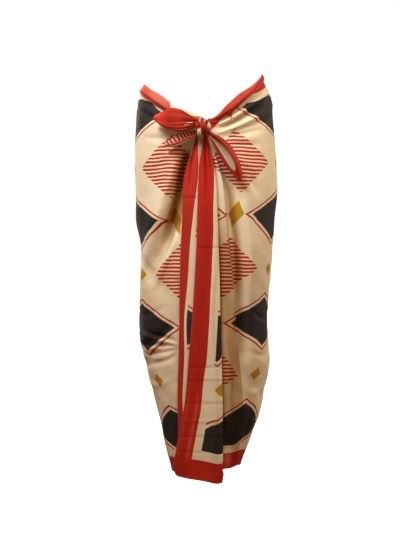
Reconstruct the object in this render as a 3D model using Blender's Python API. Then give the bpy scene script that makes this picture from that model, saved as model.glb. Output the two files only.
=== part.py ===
"""Sarong: one bordered rectangle of cotton voile, wrapped round the hips and knotted in front.

Metres, +Z up, front towards -Y. The origin is at the waist, level with the knot, on the
upright line round which the cloth is wound. `around` is a length along the cloth from the
front centre, to the right (+X) when positive, and `out` is a height above the wound form.
"""
import math

import bpy
import numpy as np

# Driving dimensions
WALL = 0.0012
SEAM = 0.0003
TURN = 0.0016
ROUNDNESS = 2.25

# Steps of the grids
ARC_STEPS = 4
PANEL_ROWS = 22
FLAP_ROWS = 3
SIDE_COLUMNS = {"left_front": 17, "right_front": 14, "back_wrap": 15}
SEAM_LEAD = 0.002
SEAM_CURVE = 0.0002

# The knot, its clearance and the swelling of the panels where it pulls on them
KNOT_AT = (-0.006, -0.142, -0.012)
KNOT_GAP = 0.0004
KNOT_RISE = 0.010
KNOT_RISE_REACH = 0.055

# Heights of the rows of the hanging layers, closer together where a fold starts or fades
LAYER_HEIGHTS = np.array([
    -0.024, -0.033, -0.043, -0.056, -0.074, -0.098, -0.128, -0.162, -0.202, -0.248, -0.300,
    -0.356, -0.412, -0.462, -0.498, -0.522, -0.542, -0.560, -0.580, -0.612, -0.660, -0.712,
    -0.764, -0.812, -0.848, -0.872])
FLAP_LIFT = 0.001


def table(names, rows):
    """A short table, as one array for each named column."""
    return dict(zip(names.split(), np.array(rows, float).T))


# The wound form, from the hem up: how far it reaches to each side at a height
FORM = table("height left right front back", [
    (-0.960, -0.082, 0.068, 0.078, 0.083),
    (-0.876, -0.091, 0.087, 0.083, 0.086),
    (-0.829, -0.105, 0.104, 0.088, 0.088),
    (-0.783, -0.114, 0.121, 0.092, 0.090),
    (-0.736, -0.125, 0.138, 0.096, 0.092),
    (-0.673, -0.140, 0.148, 0.100, 0.095),
    (-0.611, -0.156, 0.161, 0.104, 0.098),
    (-0.549, -0.171, 0.160, 0.108, 0.102),
    (-0.486, -0.173, 0.158, 0.111, 0.107),
    (-0.367, -0.171, 0.169, 0.115, 0.117),
    (-0.289, -0.171, 0.174, 0.117, 0.124),
    (-0.237, -0.181, 0.178, 0.118, 0.129),
    (-0.174, -0.182, 0.184, 0.119, 0.135),
    (-0.081, -0.185, 0.182, 0.119, 0.137),
    (0.013, -0.182, 0.175, 0.115, 0.126),
    (0.060, -0.178, 0.171, 0.111, 0.116),
    (0.090, -0.172, 0.166, 0.107, 0.110),
    (0.112, -0.160, 0.154, 0.103, 0.106),
    (0.150, -0.146, 0.141, 0.096, 0.098),
])

# The waist edge and what is turned down over it, by angle from the front centre
WAIST = table("angle top flap", [
    (-180, 0.030, 0.115),
    (-165, 0.045, 0.104),
    (-150, 0.072, 0.082),
    (-131, 0.100, 0.052),
    (-110, 0.112, 0.034),
    (-90, 0.113, 0.028),
    (-75.5, 0.111, 0.027),
    (-49, 0.089, 0.028),
    (-37.7, 0.076, 0.032),
    (-28.3, 0.058, 0.033),
    (-22, 0.042, 0.030),
    (-15.5, 0.033, 0.022),
    (-7, 0.015, 0.012),
    (0, 0.004, 0.009),
    (8.8, 0.023, 0.018),
    (13.6, 0.042, 0.024),
    (20.4, 0.061, 0.031),
    (27, 0.077, 0.029),
    (34.6, 0.089, 0.023),
    (45.4, 0.103, 0.019),
    (59.6, 0.120, 0.020),
    (85, 0.140, 0.021),
    (110, 0.128, 0.026),
    (131, 0.108, 0.048),
    (150, 0.076, 0.080),
    (165, 0.046, 0.104),
    (180, 0.030, 0.115),
])

# The hem of the panels and the back, by the same angle
HEM = table("angle height", [
    (-180, -0.884),
    (-90, -0.884),
    (-40, -0.884),
    (0, -0.880),
    (20, -0.871),
    (60, -0.867),
    (90, -0.870),
    (180, -0.884),
])

# Where the upright edges and folds of the front lie, seen from the front:
# the free edge of the cascade and its hidden turn, the two hidden turns of the pleats,
# the two pleat edges and the free edge of the front pleat
LINES = table("height cascade cascade_turn inner_turn middle_turn middle_edge front_edge free_edge", [
    (-0.960, -0.069, -0.018, 0.002, 0.066, 0.052, 0.0415, -0.0885),
    (-0.871, -0.069, -0.016, 0.005, 0.079, 0.060, 0.0421, -0.0832),
    (-0.794, -0.069, -0.011, 0.007, 0.089, 0.070, 0.0424, -0.0708),
    (-0.693, -0.072, -0.006, 0.009, 0.094, 0.078, 0.0412, -0.0528),
    (-0.582, -0.069, -0.001, 0.011, 0.085, 0.080, 0.0386, -0.0437),
    (-0.491, -0.0675, 0.002, 0.011, 0.070, 0.076, 0.0360, -0.0356),
    (-0.391, -0.066, 0.002, 0.011, 0.054, 0.067, 0.0337, -0.0291),
    (-0.291, -0.063, -0.001, 0.009, 0.040, 0.056, 0.0304, -0.0241),
    (-0.216, -0.059, -0.003, 0.007, 0.030, 0.049, 0.0281, -0.0223),
    (-0.142, -0.056, -0.006, 0.005, 0.0200, 0.0406, 0.0238, -0.0198),
    (-0.104, -0.047, -0.007, 0.003, 0.0140, 0.0318, 0.0181, -0.0173),
    (-0.067, -0.034, -0.007, -0.001, 0.0078, 0.0181, 0.0105, -0.0119),
    (-0.037, -0.0256, -0.008, -0.004, 0.0020, 0.0095, 0.0052, -0.0060),
])

# The hem of the front pleat, by the share of its width from the free edge to the pleat edge
PLEAT_HEM = table("share height", [
    (0.00, -0.874),
    (0.08, -0.887),
    (0.25, -0.893),
    (0.45, -0.896),
    (0.75, -0.902),
    (0.93, -0.907),
    (1.00, -0.905),
])
HIDDEN_HEM = -0.878
CASCADE_HEM = -0.882

# Large folds: a bent line from one place to another, its reach to each side and its height
FOLDS = table("around height by_around by_height to_around to_height left_reach right_reach rise", [
    # the deep fold that the knot draws across the left panel, and the ridge above it
    (-0.050, -0.060, -0.078, -0.235, -0.158, -0.366, 0.016, 0.034, -0.025),
    (-0.078, -0.090, -0.118, -0.215, -0.168, -0.345, 0.030, 0.012, 0.010),
    # the hollow beside the pleats and the ridge beyond it
    (0.038, -0.110, 0.072, -0.250, 0.096, -0.570, 0.011, 0.016, -0.018),
    (0.090, -0.560, 0.066, -0.670, 0.054, -0.900, 0.014, 0.018, -0.013),
    (0.088, -0.120, 0.112, -0.290, 0.124, -0.600, 0.014, 0.024, 0.009),
    # pulls from the knot to the two high points of the waist
    (-0.038, 0.004, -0.110, 0.037, -0.205, 0.080, 0.010, 0.011, -0.006),
    (-0.034, -0.014, -0.100, 0.006, -0.200, 0.046, 0.010, 0.012, -0.006),
    (0.028, -0.004, 0.080, 0.032, 0.175, 0.094, 0.009, 0.010, -0.006),
    (0.034, -0.016, 0.090, 0.014, 0.170, 0.060, 0.010, 0.011, -0.006),
    (0.040, -0.030, 0.100, -0.008, 0.185, 0.024, 0.011, 0.013, -0.005),
    # creases over the left knee
    (-0.086, -0.505, -0.130, -0.540, -0.205, -0.570, 0.010, 0.013, -0.006),
    (-0.086, -0.540, -0.125, -0.568, -0.190, -0.610, 0.010, 0.014, -0.005),
    # hanging folds of the back and the sides, which run out at the hem
    (0.475, -0.040, 0.440, -0.480, 0.262, -1.050, 0.028, 0.032, -0.016),
    (0.415, -0.020, 0.380, -0.500, 0.205, -1.050, 0.026, 0.028, 0.012),
    (0.350, -0.080, 0.320, -0.520, 0.160, -1.050, 0.024, 0.028, -0.014),
    (0.275, -0.260, 0.250, -0.580, 0.120, -1.050, 0.022, 0.026, 0.008),
    (-0.440, -0.060, -0.410, -0.500, -0.230, -1.050, 0.030, 0.026, -0.015),
    (-0.370, -0.100, -0.345, -0.520, -0.180, -1.050, 0.026, 0.026, 0.012),
    (-0.305, -0.160, -0.285, -0.560, -0.140, -1.050, 0.024, 0.024, -0.012),
    # the pull across the seat towards both hips
    (0.250, 0.020, 0.350, -0.020, 0.480, -0.035, 0.016, 0.020, -0.007),
    (-0.250, -0.010, -0.350, -0.040, -0.470, -0.050, 0.020, 0.016, -0.007),
])

# The knot: a thick core and the rounded bands round it, each bent over a middle place, all
# relative to the knot
KNOT_BANDS = table("x y z by_x by_y by_z to_x to_y to_z width thickness", [
    (0.000, 0.000, 0.017, 0.000, 0.000, 0.000, 0.001, 0.000, -0.018, 0.0140, 0.0125),
    (-0.013, -0.001, 0.012, -0.004, -0.016, 0.013, 0.012, -0.001, 0.008, 0.0085, 0.0070),
    (-0.015, -0.001, 0.013, -0.016, -0.012, 0.001, -0.013, -0.001, -0.010, 0.0065, 0.0075),
    (-0.006, -0.001, 0.012, 0.003, -0.019, 0.000, 0.010, -0.001, -0.013, 0.0080, 0.0065),
    (-0.013, -0.001, -0.006, -0.006, -0.014, -0.012, 0.003, -0.001, -0.016, 0.0080, 0.0065),
    (0.006, -0.001, 0.009, 0.013, -0.011, 0.001, 0.011, -0.001, -0.010, 0.0070, 0.0065),
])
KNOT_GRAIN = 0.0030
BAND_RINGS = 14
BAND_SIDES = 16

# The knotted ends: both edges of each leaf, the depth at which it stands and how far it opens
TAIL_COLUMNS = "top_x top_z bottom_x bottom_z depth opening"
TAILS = {
    "tail_upper_left": table(TAIL_COLUMNS, [
        (-0.012, 0.005, -0.012, -0.010, -0.147, 0.0036),
        (-0.026, 0.011, -0.027, -0.013, -0.147, 0.0044),
        (-0.041, 0.019, -0.042, -0.019, -0.146, 0.0060),
        (-0.058, 0.030, -0.060, -0.022, -0.143, 0.0072),
        (-0.075, 0.036, -0.080, -0.020, -0.138, 0.0078),
        (-0.091, 0.037, -0.098, -0.015, -0.133, 0.0072),
        (-0.108, 0.030, -0.114, -0.006, -0.127, 0.0056),
        (-0.122, 0.024, -0.126, 0.005, -0.121, 0.0042),
        (-0.131, 0.020, -0.133, 0.011, -0.116, 0.0036),
    ]),
    "tail_lower_left": table(TAIL_COLUMNS, [
        (-0.014, -0.015, -0.014, -0.030, -0.147, 0.0036),
        (-0.028, -0.021, -0.026, -0.035, -0.144, 0.0038),
        (-0.042, -0.021, -0.040, -0.042, -0.139, 0.0044),
        (-0.056, -0.023, -0.053, -0.048, -0.136, 0.0048),
        (-0.070, -0.028, -0.068, -0.055, -0.133, 0.0048),
        (-0.084, -0.036, -0.082, -0.058, -0.130, 0.0044),
        (-0.096, -0.042, -0.094, -0.058, -0.127, 0.0040),
        (-0.104, -0.047, -0.103, -0.057, -0.124, 0.0036),
    ]),
    "tail_lower_right": table(TAIL_COLUMNS, [
        (0.006, -0.018, -0.003, -0.030, -0.150, 0.0034),
        (0.016, -0.028, 0.005, -0.038, -0.152, 0.0040),
        (0.032, -0.035, 0.014, -0.051, -0.150, 0.0056),
        (0.049, -0.046, 0.024, -0.069, -0.147, 0.0066),
        (0.064, -0.063, 0.035, -0.088, -0.144, 0.0070),
        (0.077, -0.086, 0.047, -0.106, -0.141, 0.0066),
        (0.086, -0.109, 0.060, -0.121, -0.138, 0.0056),
        (0.090, -0.128, 0.072, -0.135, -0.135, 0.0044),
        (0.087, -0.142, 0.081, -0.145, -0.132, 0.0032),
    ]),
}

# Sections of the leaves: the share of the width up from the lower edge, and the share of
# the opening towards the front. The upper left one is folded along its top, the lower left
# one along its foot, and the lower right one is a trough, open towards the front.
SECTIONS = {
    "tail_upper_left": table("share front", [
        (0.06, 1.30), (0.22, 1.35), (0.55, 1.10), (0.86, 0.85), (1.00, 0.00),
        (0.86, -0.80), (0.55, -0.60), (0.22, -0.20), (0.00, 0.30),
    ]),
    "tail_lower_left": table("share front", [
        (0.30, 1.25), (0.18, 1.30), (0.06, 0.90), (0.00, 0.00), (0.14, -0.85),
        (0.36, -0.70), (0.60, -0.35), (0.82, -0.20), (1.00, 0.00),
    ]),
    "tail_lower_right": table("share front", [
        (0.20, 1.20), (0.08, 1.00), (0.00, 0.10), (0.14, -0.80), (0.42, -1.00),
        (0.70, -0.90), (0.96, -0.50), (1.00, 0.50), (0.84, 1.20), (0.62, 1.35),
    ]),
}
TAIL_ROWS = 13
TAIL_SIDE_COLUMNS = 14

# Colours of the printed cloth
BEIGE = (0.74, 0.57, 0.34, 1.0)
RED = (0.47, 0.035, 0.015, 1.0)
STRIPED = (0.60, 0.24, 0.13, 1.0)
CLOTH_ROUGHNESS = 0.85


def clear_scene():
    """Start from an empty scene."""
    for thing in list(bpy.data.objects):
        bpy.data.objects.remove(thing, do_unlink=True)


def smooth(at, places, values):
    """A cubic curve through the points of a table, level beyond its ends."""
    at = np.clip(np.asarray(at, float), places[0], places[-1])
    steps = np.diff(places)
    rises = np.diff(values) / steps
    slopes = np.empty(len(places))
    slopes[1:-1] = (rises[1:] * steps[:-1] + rises[:-1] * steps[1:]) / (steps[1:] + steps[:-1])
    slopes[0] = rises[0]
    slopes[-1] = rises[-1]
    low = np.clip(np.searchsorted(places, at) - 1, 0, len(steps) - 1)
    step = steps[low]
    part = (at - places[low]) / step
    left = 1 - part
    start = (1 + 2 * part) * left ** 2 * values[low] + part * left ** 2 * step * slopes[low]
    end = part ** 2 * (3 - 2 * part) * values[low + 1] - part ** 2 * left * step * slopes[low + 1]
    return start + end


def ease(part):
    """A soft step from 0 to 1."""
    part = np.clip(part, 0, 1)
    return part * part * (3 - 2 * part)


# The wound form


def form_reach(height, name):
    """How far the form reaches to one side at a height."""
    return smooth(height, FORM["height"], FORM[name])


def form_point(angle, height):
    """Place and outward direction on the form, at an angle in degrees from the front centre."""
    sine = np.sin(np.radians(angle))
    cosine = np.cos(np.radians(angle))
    left = form_reach(height, "left")
    right = form_reach(height, "right")
    half = (right - left) / 2
    deep = np.where(cosine > 0, form_reach(height, "front"), form_reach(height, "back"))
    across = np.sign(sine) * np.abs(sine) ** (2 / ROUNDNESS)
    along = -np.sign(cosine) * np.abs(cosine) ** (2 / ROUNDNESS)
    x = (left + right) / 2 + half * across
    y = deep * along
    normal_x = np.sign(across) * np.abs(across) ** (ROUNDNESS - 1) / half
    normal_y = np.sign(along) * np.abs(along) ** (ROUNDNESS - 1) / deep
    length = np.hypot(normal_x, normal_y)
    return x, y, normal_x / length, normal_y / length


LEVEL_STEP = 0.01
LEVELS = np.arange(-0.96, 0.1701, LEVEL_STEP)
ANGLES = np.linspace(-180, 180, 481)


def measure_form():
    """Length round the form from the front centre to each angle, at each level."""
    lengths = []
    for level in LEVELS:
        x, y, _, _ = form_point(ANGLES, np.full_like(ANGLES, level))
        steps = np.hypot(np.diff(x), np.diff(y))
        length = np.concatenate([[0], np.cumsum(steps)])
        lengths.append(length - length[len(ANGLES) // 2])
    return np.array(lengths)


LENGTHS = measure_form()


def angle_at(around, height):
    """The angle of the place that lies `around` along the form from the front centre."""
    around, height = np.broadcast_arrays(np.asarray(around, float), np.asarray(height, float))
    level = (height - LEVELS[0]) / LEVEL_STEP
    low = np.clip(level.astype(int), 0, len(LEVELS) - 2)
    part = level - low
    angle = np.empty(around.shape)
    for index in np.unique(low):
        here = low == index
        below = np.interp(around[here], LENGTHS[index], ANGLES)
        above = np.interp(around[here], LENGTHS[index + 1], ANGLES)
        angle[here] = below + (above - below) * part[here]
    return angle


def around_at_angle(angle, height):
    """The length along the form from the front centre to an angle."""
    column = np.array([np.interp(angle, ANGLES, length) for length in LENGTHS])
    return np.interp(height, LEVELS, column)


def line_around(name, out):
    """An upright line of the front, as a length along the form at each level."""
    found = []
    for level, length in zip(LEVELS, LENGTHS):
        x, _, normal_x, _ = form_point(ANGLES, np.full_like(ANGLES, level))
        front = np.abs(ANGLES) < 89
        place = smooth(level, LINES["height"], LINES[name])
        found.append(np.interp(place, (x + out * normal_x)[front], length[front]))
    return np.array(found)


LINE_AROUND = {
    "cascade": line_around("cascade", 2 * TURN),
    "cascade_turn": line_around("cascade_turn", TURN),
    "inner_turn": line_around("inner_turn", 5 * TURN),
    "middle_turn": line_around("middle_turn", TURN),
    "middle_edge": line_around("middle_edge", 3 * TURN),
    "front_edge": line_around("front_edge", 7 * TURN),
    "free_edge": line_around("free_edge", 5 * TURN),
}


def line_at(name, height):
    """One of those lines at any height."""
    return np.interp(height, LEVELS, LINE_AROUND[name])


# Folds of the cloth


def bent_line(start, middle, end, count=33):
    """Points along a line bent through a middle place."""
    share = np.linspace(0, 1, count)[:, None]
    handle = 2 * np.array(middle) - (np.array(start) + np.array(end)) / 2
    return (1 - share) ** 2 * start + 2 * share * (1 - share) * handle + share ** 2 * end


def fold_depth(around, height):
    """How far the large folds raise or sink the cloth."""
    depth = np.zeros(np.shape(around))
    for index in range(len(FOLDS["rise"])):
        row = {name: column[index] for name, column in FOLDS.items()}
        line = bent_line(
            np.array([row["around"], row["height"]]),
            np.array([row["by_around"], row["by_height"]]),
            np.array([row["to_around"], row["to_height"]]))
        gap_a = around[..., None] - line[:, 0]
        gap_h = height[..., None] - line[:, 1]
        nearest = np.argmin(gap_a ** 2 + gap_h ** 2, axis=-1)
        share = nearest / (len(line) - 1)
        far_a = np.take_along_axis(gap_a, nearest[..., None], -1)[..., 0]
        far_h = np.take_along_axis(gap_h, nearest[..., None], -1)[..., 0]
        course = np.gradient(line, axis=0)[nearest]
        side = np.sign(course[..., 0] * far_h - course[..., 1] * far_a)
        side = side * np.sign(line[0, 1] - line[-1, 1])
        reach = np.where(side > 0, row["right_reach"], row["left_reach"])
        fade = np.sin(np.pi * np.clip(share * 0.9 + 0.05, 0, 1)) ** 0.6
        depth = depth + row["rise"] * fade * np.exp(-(far_a ** 2 + far_h ** 2) / reach ** 2)
    return depth


def knot_pull(around, height):
    """The swelling of every layer towards the knot."""
    far = np.hypot(around - KNOT_AT[0], (height - KNOT_AT[2]) * 0.8)
    return KNOT_RISE * np.exp(-(far / KNOT_RISE_REACH) ** 2)


def cloth_point(around, height, out):
    """A place on the cloth."""
    x, y, normal_x, normal_y = form_point(angle_at(around, height), height)
    return np.stack([x + out * normal_x, y + out * normal_y, height], axis=-1)


# Walls


def sheet_mesh(name, grid):
    """A mesh of triangles over a grid of points, each square cut along its shorter diagonal."""
    rows, columns, _ = grid.shape
    numbers = np.arange(rows * columns).reshape(rows, columns)
    faces = []
    for row in range(rows - 1):
        for column in range(columns - 1):
            a = numbers[row, column]
            b = numbers[row, column + 1]
            c = numbers[row + 1, column + 1]
            d = numbers[row + 1, column]
            down = np.linalg.norm(grid[row, column] - grid[row + 1, column + 1])
            up = np.linalg.norm(grid[row, column + 1] - grid[row + 1, column])
            if down < up:
                faces += [(a, b, c), (a, c, d)]
            else:
                faces += [(a, b, d), (b, c, d)]
    mesh = bpy.data.meshes.new(name)
    mesh.from_pydata(grid.reshape(-1, 3).tolist(), [], [tuple(map(int, face)) for face in faces])
    mesh.update()
    return mesh


def cloth_wall(name, grid, material, cutter=None):
    """A wall of cloth whose middle is the grid."""
    piece = bpy.data.objects.new(name, sheet_mesh(name, grid))
    bpy.context.collection.objects.link(piece)
    piece.data.materials.append(material)
    piece.data.shade_smooth()
    solidify = piece.modifiers.new("Cloth thickness", "SOLIDIFY")
    solidify.thickness = WALL
    solidify.offset = 0
    if cutter:
        clear_of(piece, cutter)
    return piece


def clear_of(piece, cutter):
    """Cut a piece back where it would meet another."""
    cut = piece.modifiers.new("Clear of " + cutter.name, "BOOLEAN")
    cut.operation = "DIFFERENCE"
    cut.solver = "EXACT"
    cut.object = cutter


# Panels and back


def panel_grid(first, last, columns):
    """A stretch of the wrapped cloth from the turned-down edge to the hem.

    `first` and `last` give the length along the form of the two upright sides at a height.
    """
    shares = np.linspace(0, 1, columns)
    flap_shares = np.linspace(1, 0, FLAP_ROWS + 1)[:-1]
    under_shares = flap_shares[::-1]
    turn_angles = np.linspace(0, math.pi, ARC_STEPS + 1)
    panel_shares = np.linspace(0, 1, PANEL_ROWS + 1)[1:]
    grid = []
    for share in shares:
        angle = angle_at(first(0.0) + (last(0.0) - first(0.0)) * share, 0.0)
        top = smooth(angle, WAIST["angle"], WAIST["top"])
        flap = smooth(angle, WAIST["angle"], WAIST["flap"])
        hem = smooth(angle, HEM["angle"], HEM["height"])
        shoulder = top - TURN
        flap_foot = top - flap
        height = np.concatenate([
            shoulder + (flap_foot - shoulder) * flap_shares,
            shoulder + TURN * np.sin(turn_angles),
            shoulder + (flap_foot - shoulder) * under_shares,
            flap_foot + (hem - flap_foot) * panel_shares])
        out = np.concatenate([
            np.full(FLAP_ROWS, 2 * TURN) + FLAP_LIFT * flap_shares,
            TURN + TURN * np.cos(turn_angles),
            np.zeros(FLAP_ROWS + PANEL_ROWS)])
        around = first(height) + (last(height) - first(height)) * share
        out = out + fold_depth(around, height) + knot_pull(around, height)
        grid.append(cloth_point(around, height, out))
    return np.array(grid).transpose(1, 0, 2)


def left_seam(height):
    """The upright line at the left side."""
    return around_at_angle(-90, height)


def right_seam(height):
    """The upright line at the right side."""
    return around_at_angle(90, height)


def build_panels(material, cutter):
    """The left front, the right front and the back."""
    half_gap = SEAM / 2
    left = panel_grid(
        lambda height: left_seam(height) + half_gap,
        lambda height: line_at("cascade_turn", height) - TURN - SEAM_LEAD - SEAM - SEAM_CURVE,
        SIDE_COLUMNS["left_front"])
    right = panel_grid(
        lambda height: line_at("middle_turn", height) + TURN + SEAM_LEAD + SEAM + SEAM_CURVE,
        lambda height: right_seam(height) - half_gap,
        SIDE_COLUMNS["right_front"])
    back = back_grid(half_gap)
    cloth_wall("left_front", left, material, cutter)
    cloth_wall("right_front", right, material, cutter)
    cloth_wall("back_wrap", back, material)


def back_grid(half_gap):
    """The back, which crosses the line where the length along the form starts again."""
    middle = (SIDE_COLUMNS["back_wrap"] + 1) // 2
    right = panel_grid(
        lambda height: right_seam(height) + half_gap,
        lambda height: around_at_angle(180, height),
        middle)
    left = panel_grid(
        lambda height: around_at_angle(-180, height),
        lambda height: left_seam(height) - half_gap,
        middle)
    joined = (right[:, -1:] + left[:, :1]) / 2
    return np.concatenate([right[:, :-1], joined, left[:, 1:]], axis=1)


# Pleats and cascade


def turn_points(centre, from_course, to_course, side):
    """Points of one soft fold: a round turn about a centre between two courses."""
    courses = np.linspace(from_course, to_course, ARC_STEPS + 1)
    reach = courses + side * math.pi / 2
    return [(centre[0] + TURN * math.cos(a), centre[1] + TURN * math.sin(a)) for a in reach]


def course_between(centre, following, side):
    """Course of the straight stretch from one turn to the next, which bends the other way."""
    away = math.atan2(following[1] - centre[1], following[0] - centre[0])
    distance = math.hypot(following[0] - centre[0], following[1] - centre[1])
    return away - side * math.asin(min(1.0, 2 * TURN / distance))


def folded_path(centres, between):
    """A section through pleats, from a start towards -around to an end towards -around."""
    points = []
    course = math.pi
    side = 1
    for index, centre in enumerate(centres):
        if index + 1 < len(centres):
            following = course_between(centre, centres[index + 1], side)
        else:
            following = math.pi
        arc = turn_points(centre, course, following, side)
        if points:
            start = np.array(points[-1])
            count = between[index - 1]
            for step in range(1, count + 1):
                points.append(tuple(start + (np.array(arc[0]) - start) * step / (count + 1)))
        points += arc
        course = following
        side = -side
    return points


def front_drop(distance):
    """The front pleat settles towards the layers below it, away from its pleat edge."""
    return 2.4 * TURN * ease((distance - 0.022) / 0.030)


BETWEEN_TURNS = (1, 3, 1)
FREE_COLUMNS = 7


def pleat_section(height):
    """Section of the two pleats at a height: length along the form, outward height, and how
    much the cloth there follows the large folds of the panel beside it."""
    centres = [
        (line_at("middle_turn", height) + TURN, TURN),
        (line_at("middle_edge", height) - TURN, 3 * TURN),
        (line_at("inner_turn", height) + TURN, 5 * TURN),
        (line_at("front_edge", height) - TURN, 7 * TURN)]
    path = [(centres[0][0] + SEAM_LEAD, 0.0)] + folded_path(centres, BETWEEN_TURNS)
    opened = ease((-0.42 - height) / 0.12)
    points = []
    for around, out in path:
        follow = opened * (out <= 4.01 * TURN)
        points.append((around, out, max(follow, 1 - out / TURN)))
    start = points[-1][0]
    width = start - line_at("free_edge", height)
    for step in range(1, FREE_COLUMNS + 1):
        distance = width * step / FREE_COLUMNS
        points.append((start - distance, 8 * TURN - front_drop(distance), 0.0))
    return points


def pleat_hems():
    """Hem height of each column of the pleats."""
    columns = len(pleat_section(-0.5))
    free = np.linspace(1, 0, FREE_COLUMNS + 1)
    hems = list(smooth(free, PLEAT_HEM["share"], PLEAT_HEM["height"]))
    turn = np.linspace(0, 1, ARC_STEPS + 1)[:-1]
    front_turn = HIDDEN_HEM + (hems[0] - HIDDEN_HEM) * ease(turn)
    visible = np.full(columns - len(hems) - len(front_turn), -0.8715)
    return np.concatenate([visible, front_turn, hems])


def hanging_grid(section, hems):
    """Columns that hang from under the knot to their hems, along a section given by height."""
    columns = len(hems)
    top = LAYER_HEIGHTS[0]
    stretch = (hems - top) / (LAYER_HEIGHTS[-1] - top)
    grid = np.empty((len(LAYER_HEIGHTS), columns, 3))
    for row, level in enumerate(LAYER_HEIGHTS):
        for column in range(columns):
            height = top + (level - top) * stretch[column]
            around, out, follow = section(height)[column]
            out = out + follow * fold_depth(np.array([around]), np.array([height]))[0]
            out = out + knot_pull(around, height)
            grid[row, column] = cloth_point(around, height, out)
    return grid


CASCADE_COLUMNS = 7
CASCADE_LIFT = 0.001


def cascade_section(height):
    """Section of the left free edge: a turn to the outside, then back over the left panel."""
    turn = line_at("cascade_turn", height)
    points = [(SEAM_LEAD + TURN - turn, 0.0)]
    points += turn_points((TURN - turn, TURN), math.pi, 0.0, 1)
    points = [(-around, out, max(0.0, 1 - out / TURN)) for around, out in points]
    start = points[-1][0]
    width = start - line_at("cascade", height)
    for step in range(1, CASCADE_COLUMNS + 1):
        share = step / CASCADE_COLUMNS
        points.append((start - width * share, 2 * TURN + CASCADE_LIFT * ease(share), 0.0))
    return points


def build_hanging_layers(cloth, border, cutter):
    """The front pleats and the cascade of the left edge."""
    cloth_wall("front_pleats", hanging_grid(pleat_section, pleat_hems()), cloth, cutter)
    columns = len(cascade_section(-0.5))
    hems = np.full(columns, CASCADE_HEM)
    cloth_wall("left_cascade", hanging_grid(cascade_section, hems), border, cutter)


# Knot


def band_points(line, width, thickness, swell):
    """Rings of a thick band along a line, oval across and rounded off at both ends."""
    course = np.gradient(line, axis=0)
    course = course / np.linalg.norm(course, axis=1)[:, None]
    across = np.cross(course, np.array([0.0, -1.0, 0.0]))
    across = across / np.linalg.norm(across, axis=1)[:, None]
    up = np.cross(across, course)
    share = np.linspace(-1, 1, len(line))
    full = np.sqrt(np.clip(1 - (share * 0.93) ** 4, 0, 1))
    points = []
    for index, place in enumerate(line):
        for side in range(BAND_SIDES):
            angle = 2 * math.pi * side / BAND_SIDES
            wide = (width * full[index] + swell) * math.cos(angle)
            thick = (thickness * full[index] + swell) * math.sin(angle)
            points.append(tuple(place + across[index] * wide + up[index] * thick))
    points.append(tuple(line[0] - course[0] * swell))
    points.append(tuple(line[-1] + course[-1] * swell))
    return points


def band_faces(rings, sides, first):
    """Faces of a tube that is closed to a point at each end."""
    faces = []
    for ring in range(rings - 1):
        for side in range(sides):
            a = first + ring * sides + side
            b = first + ring * sides + (side + 1) % sides
            faces.append((a, a + sides, b + sides, b))
    start = first + rings * sides
    end = start + 1
    last_ring = first + (rings - 1) * sides
    for side in range(sides):
        following = (side + 1) % sides
        faces.append((start, first + side, first + following))
        faces.append((end, last_ring + following, last_ring + side))
    return faces


def knot_solid(name, swell):
    """The core and the bands of the knot as one skin."""
    points = []
    faces = []
    for index in range(len(KNOT_BANDS["x"])):
        row = {key: column[index] for key, column in KNOT_BANDS.items()}
        start = np.array([row["x"], row["y"], row["z"]])
        middle = np.array([row["by_x"], row["by_y"], row["by_z"]])
        end = np.array([row["to_x"], row["to_y"], row["to_z"]])
        line = bent_line(start, middle, end, BAND_RINGS) + np.array(KNOT_AT)
        faces += band_faces(BAND_RINGS, BAND_SIDES, len(points))
        points += band_points(line, row["width"], row["thickness"], swell)
    mesh = bpy.data.meshes.new(name)
    mesh.from_pydata(points, [], faces)
    mesh.update()
    knot = bpy.data.objects.new(name, mesh)
    bpy.context.collection.objects.link(knot)
    skin = knot.modifiers.new("One skin", "REMESH")
    skin.mode = "VOXEL"
    skin.voxel_size = KNOT_GRAIN
    skin.use_smooth_shade = True
    return knot


def build_knot(material):
    """The knot, and its swollen copy that cuts its neighbours clear."""
    knot = knot_solid("knot", 0.0)
    knot.data.materials.append(material)
    cutter = knot_solid("knot_clearance", KNOT_GAP)
    cutter.hide_render = True
    cutter.display_type = "WIRE"
    return cutter


# Knotted ends


def tail_grid(name):
    """A leaf of folded cloth between its two edges, from the knot to the corner of the cloth."""
    edges = TAILS[name]
    section = SECTIONS[name]
    rows = np.linspace(0, 1, TAIL_ROWS)
    places = np.linspace(0, 1, len(edges["depth"]))
    at = {key: smooth(rows, places, column) for key, column in edges.items()}
    columns = np.linspace(0, 1, TAIL_SIDE_COLUMNS)
    marks = np.linspace(0, 1, len(section["share"]))
    share = smooth(columns, marks, section["share"])[None, :]
    front = smooth(columns, marks, section["front"])[None, :]
    column = {key: values[:, None] for key, values in at.items()}
    x = column["bottom_x"] + (column["top_x"] - column["bottom_x"]) * share
    z = column["bottom_z"] + (column["top_z"] - column["bottom_z"]) * share
    y = column["depth"] - column["opening"] * front
    return np.stack([x, y, z], axis=-1)


def build_tails(materials, cutter):
    """The three ends that stand out of the knot."""
    for name in TAILS:
        cloth_wall(name, tail_grid(name), materials[name], cutter)


# Materials


def cloth_material(name, colour):
    """Plain woven cloth in one colour."""
    material = bpy.data.materials.new(name)
    material.use_nodes = True
    shader = material.node_tree.nodes["Principled BSDF"]
    shader.inputs["Base Color"].default_value = colour
    shader.inputs["Roughness"].default_value = CLOTH_ROUGHNESS
    shader.inputs["Metallic"].default_value = 0.0
    material.diffuse_color = colour
    return material


def build_sarong():
    """The whole sarong."""
    clear_scene()
    ground = cloth_material("printed_voile", BEIGE)
    border = cloth_material("border_voile", RED)
    striped = cloth_material("striped_voile", STRIPED)
    cutter = build_knot(border)
    build_panels(ground, cutter)
    build_hanging_layers(ground, border, cutter)
    build_tails({
        "tail_upper_left": border,
        "tail_lower_left": striped,
        "tail_lower_right": border}, cutter)


build_sarong()
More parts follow.
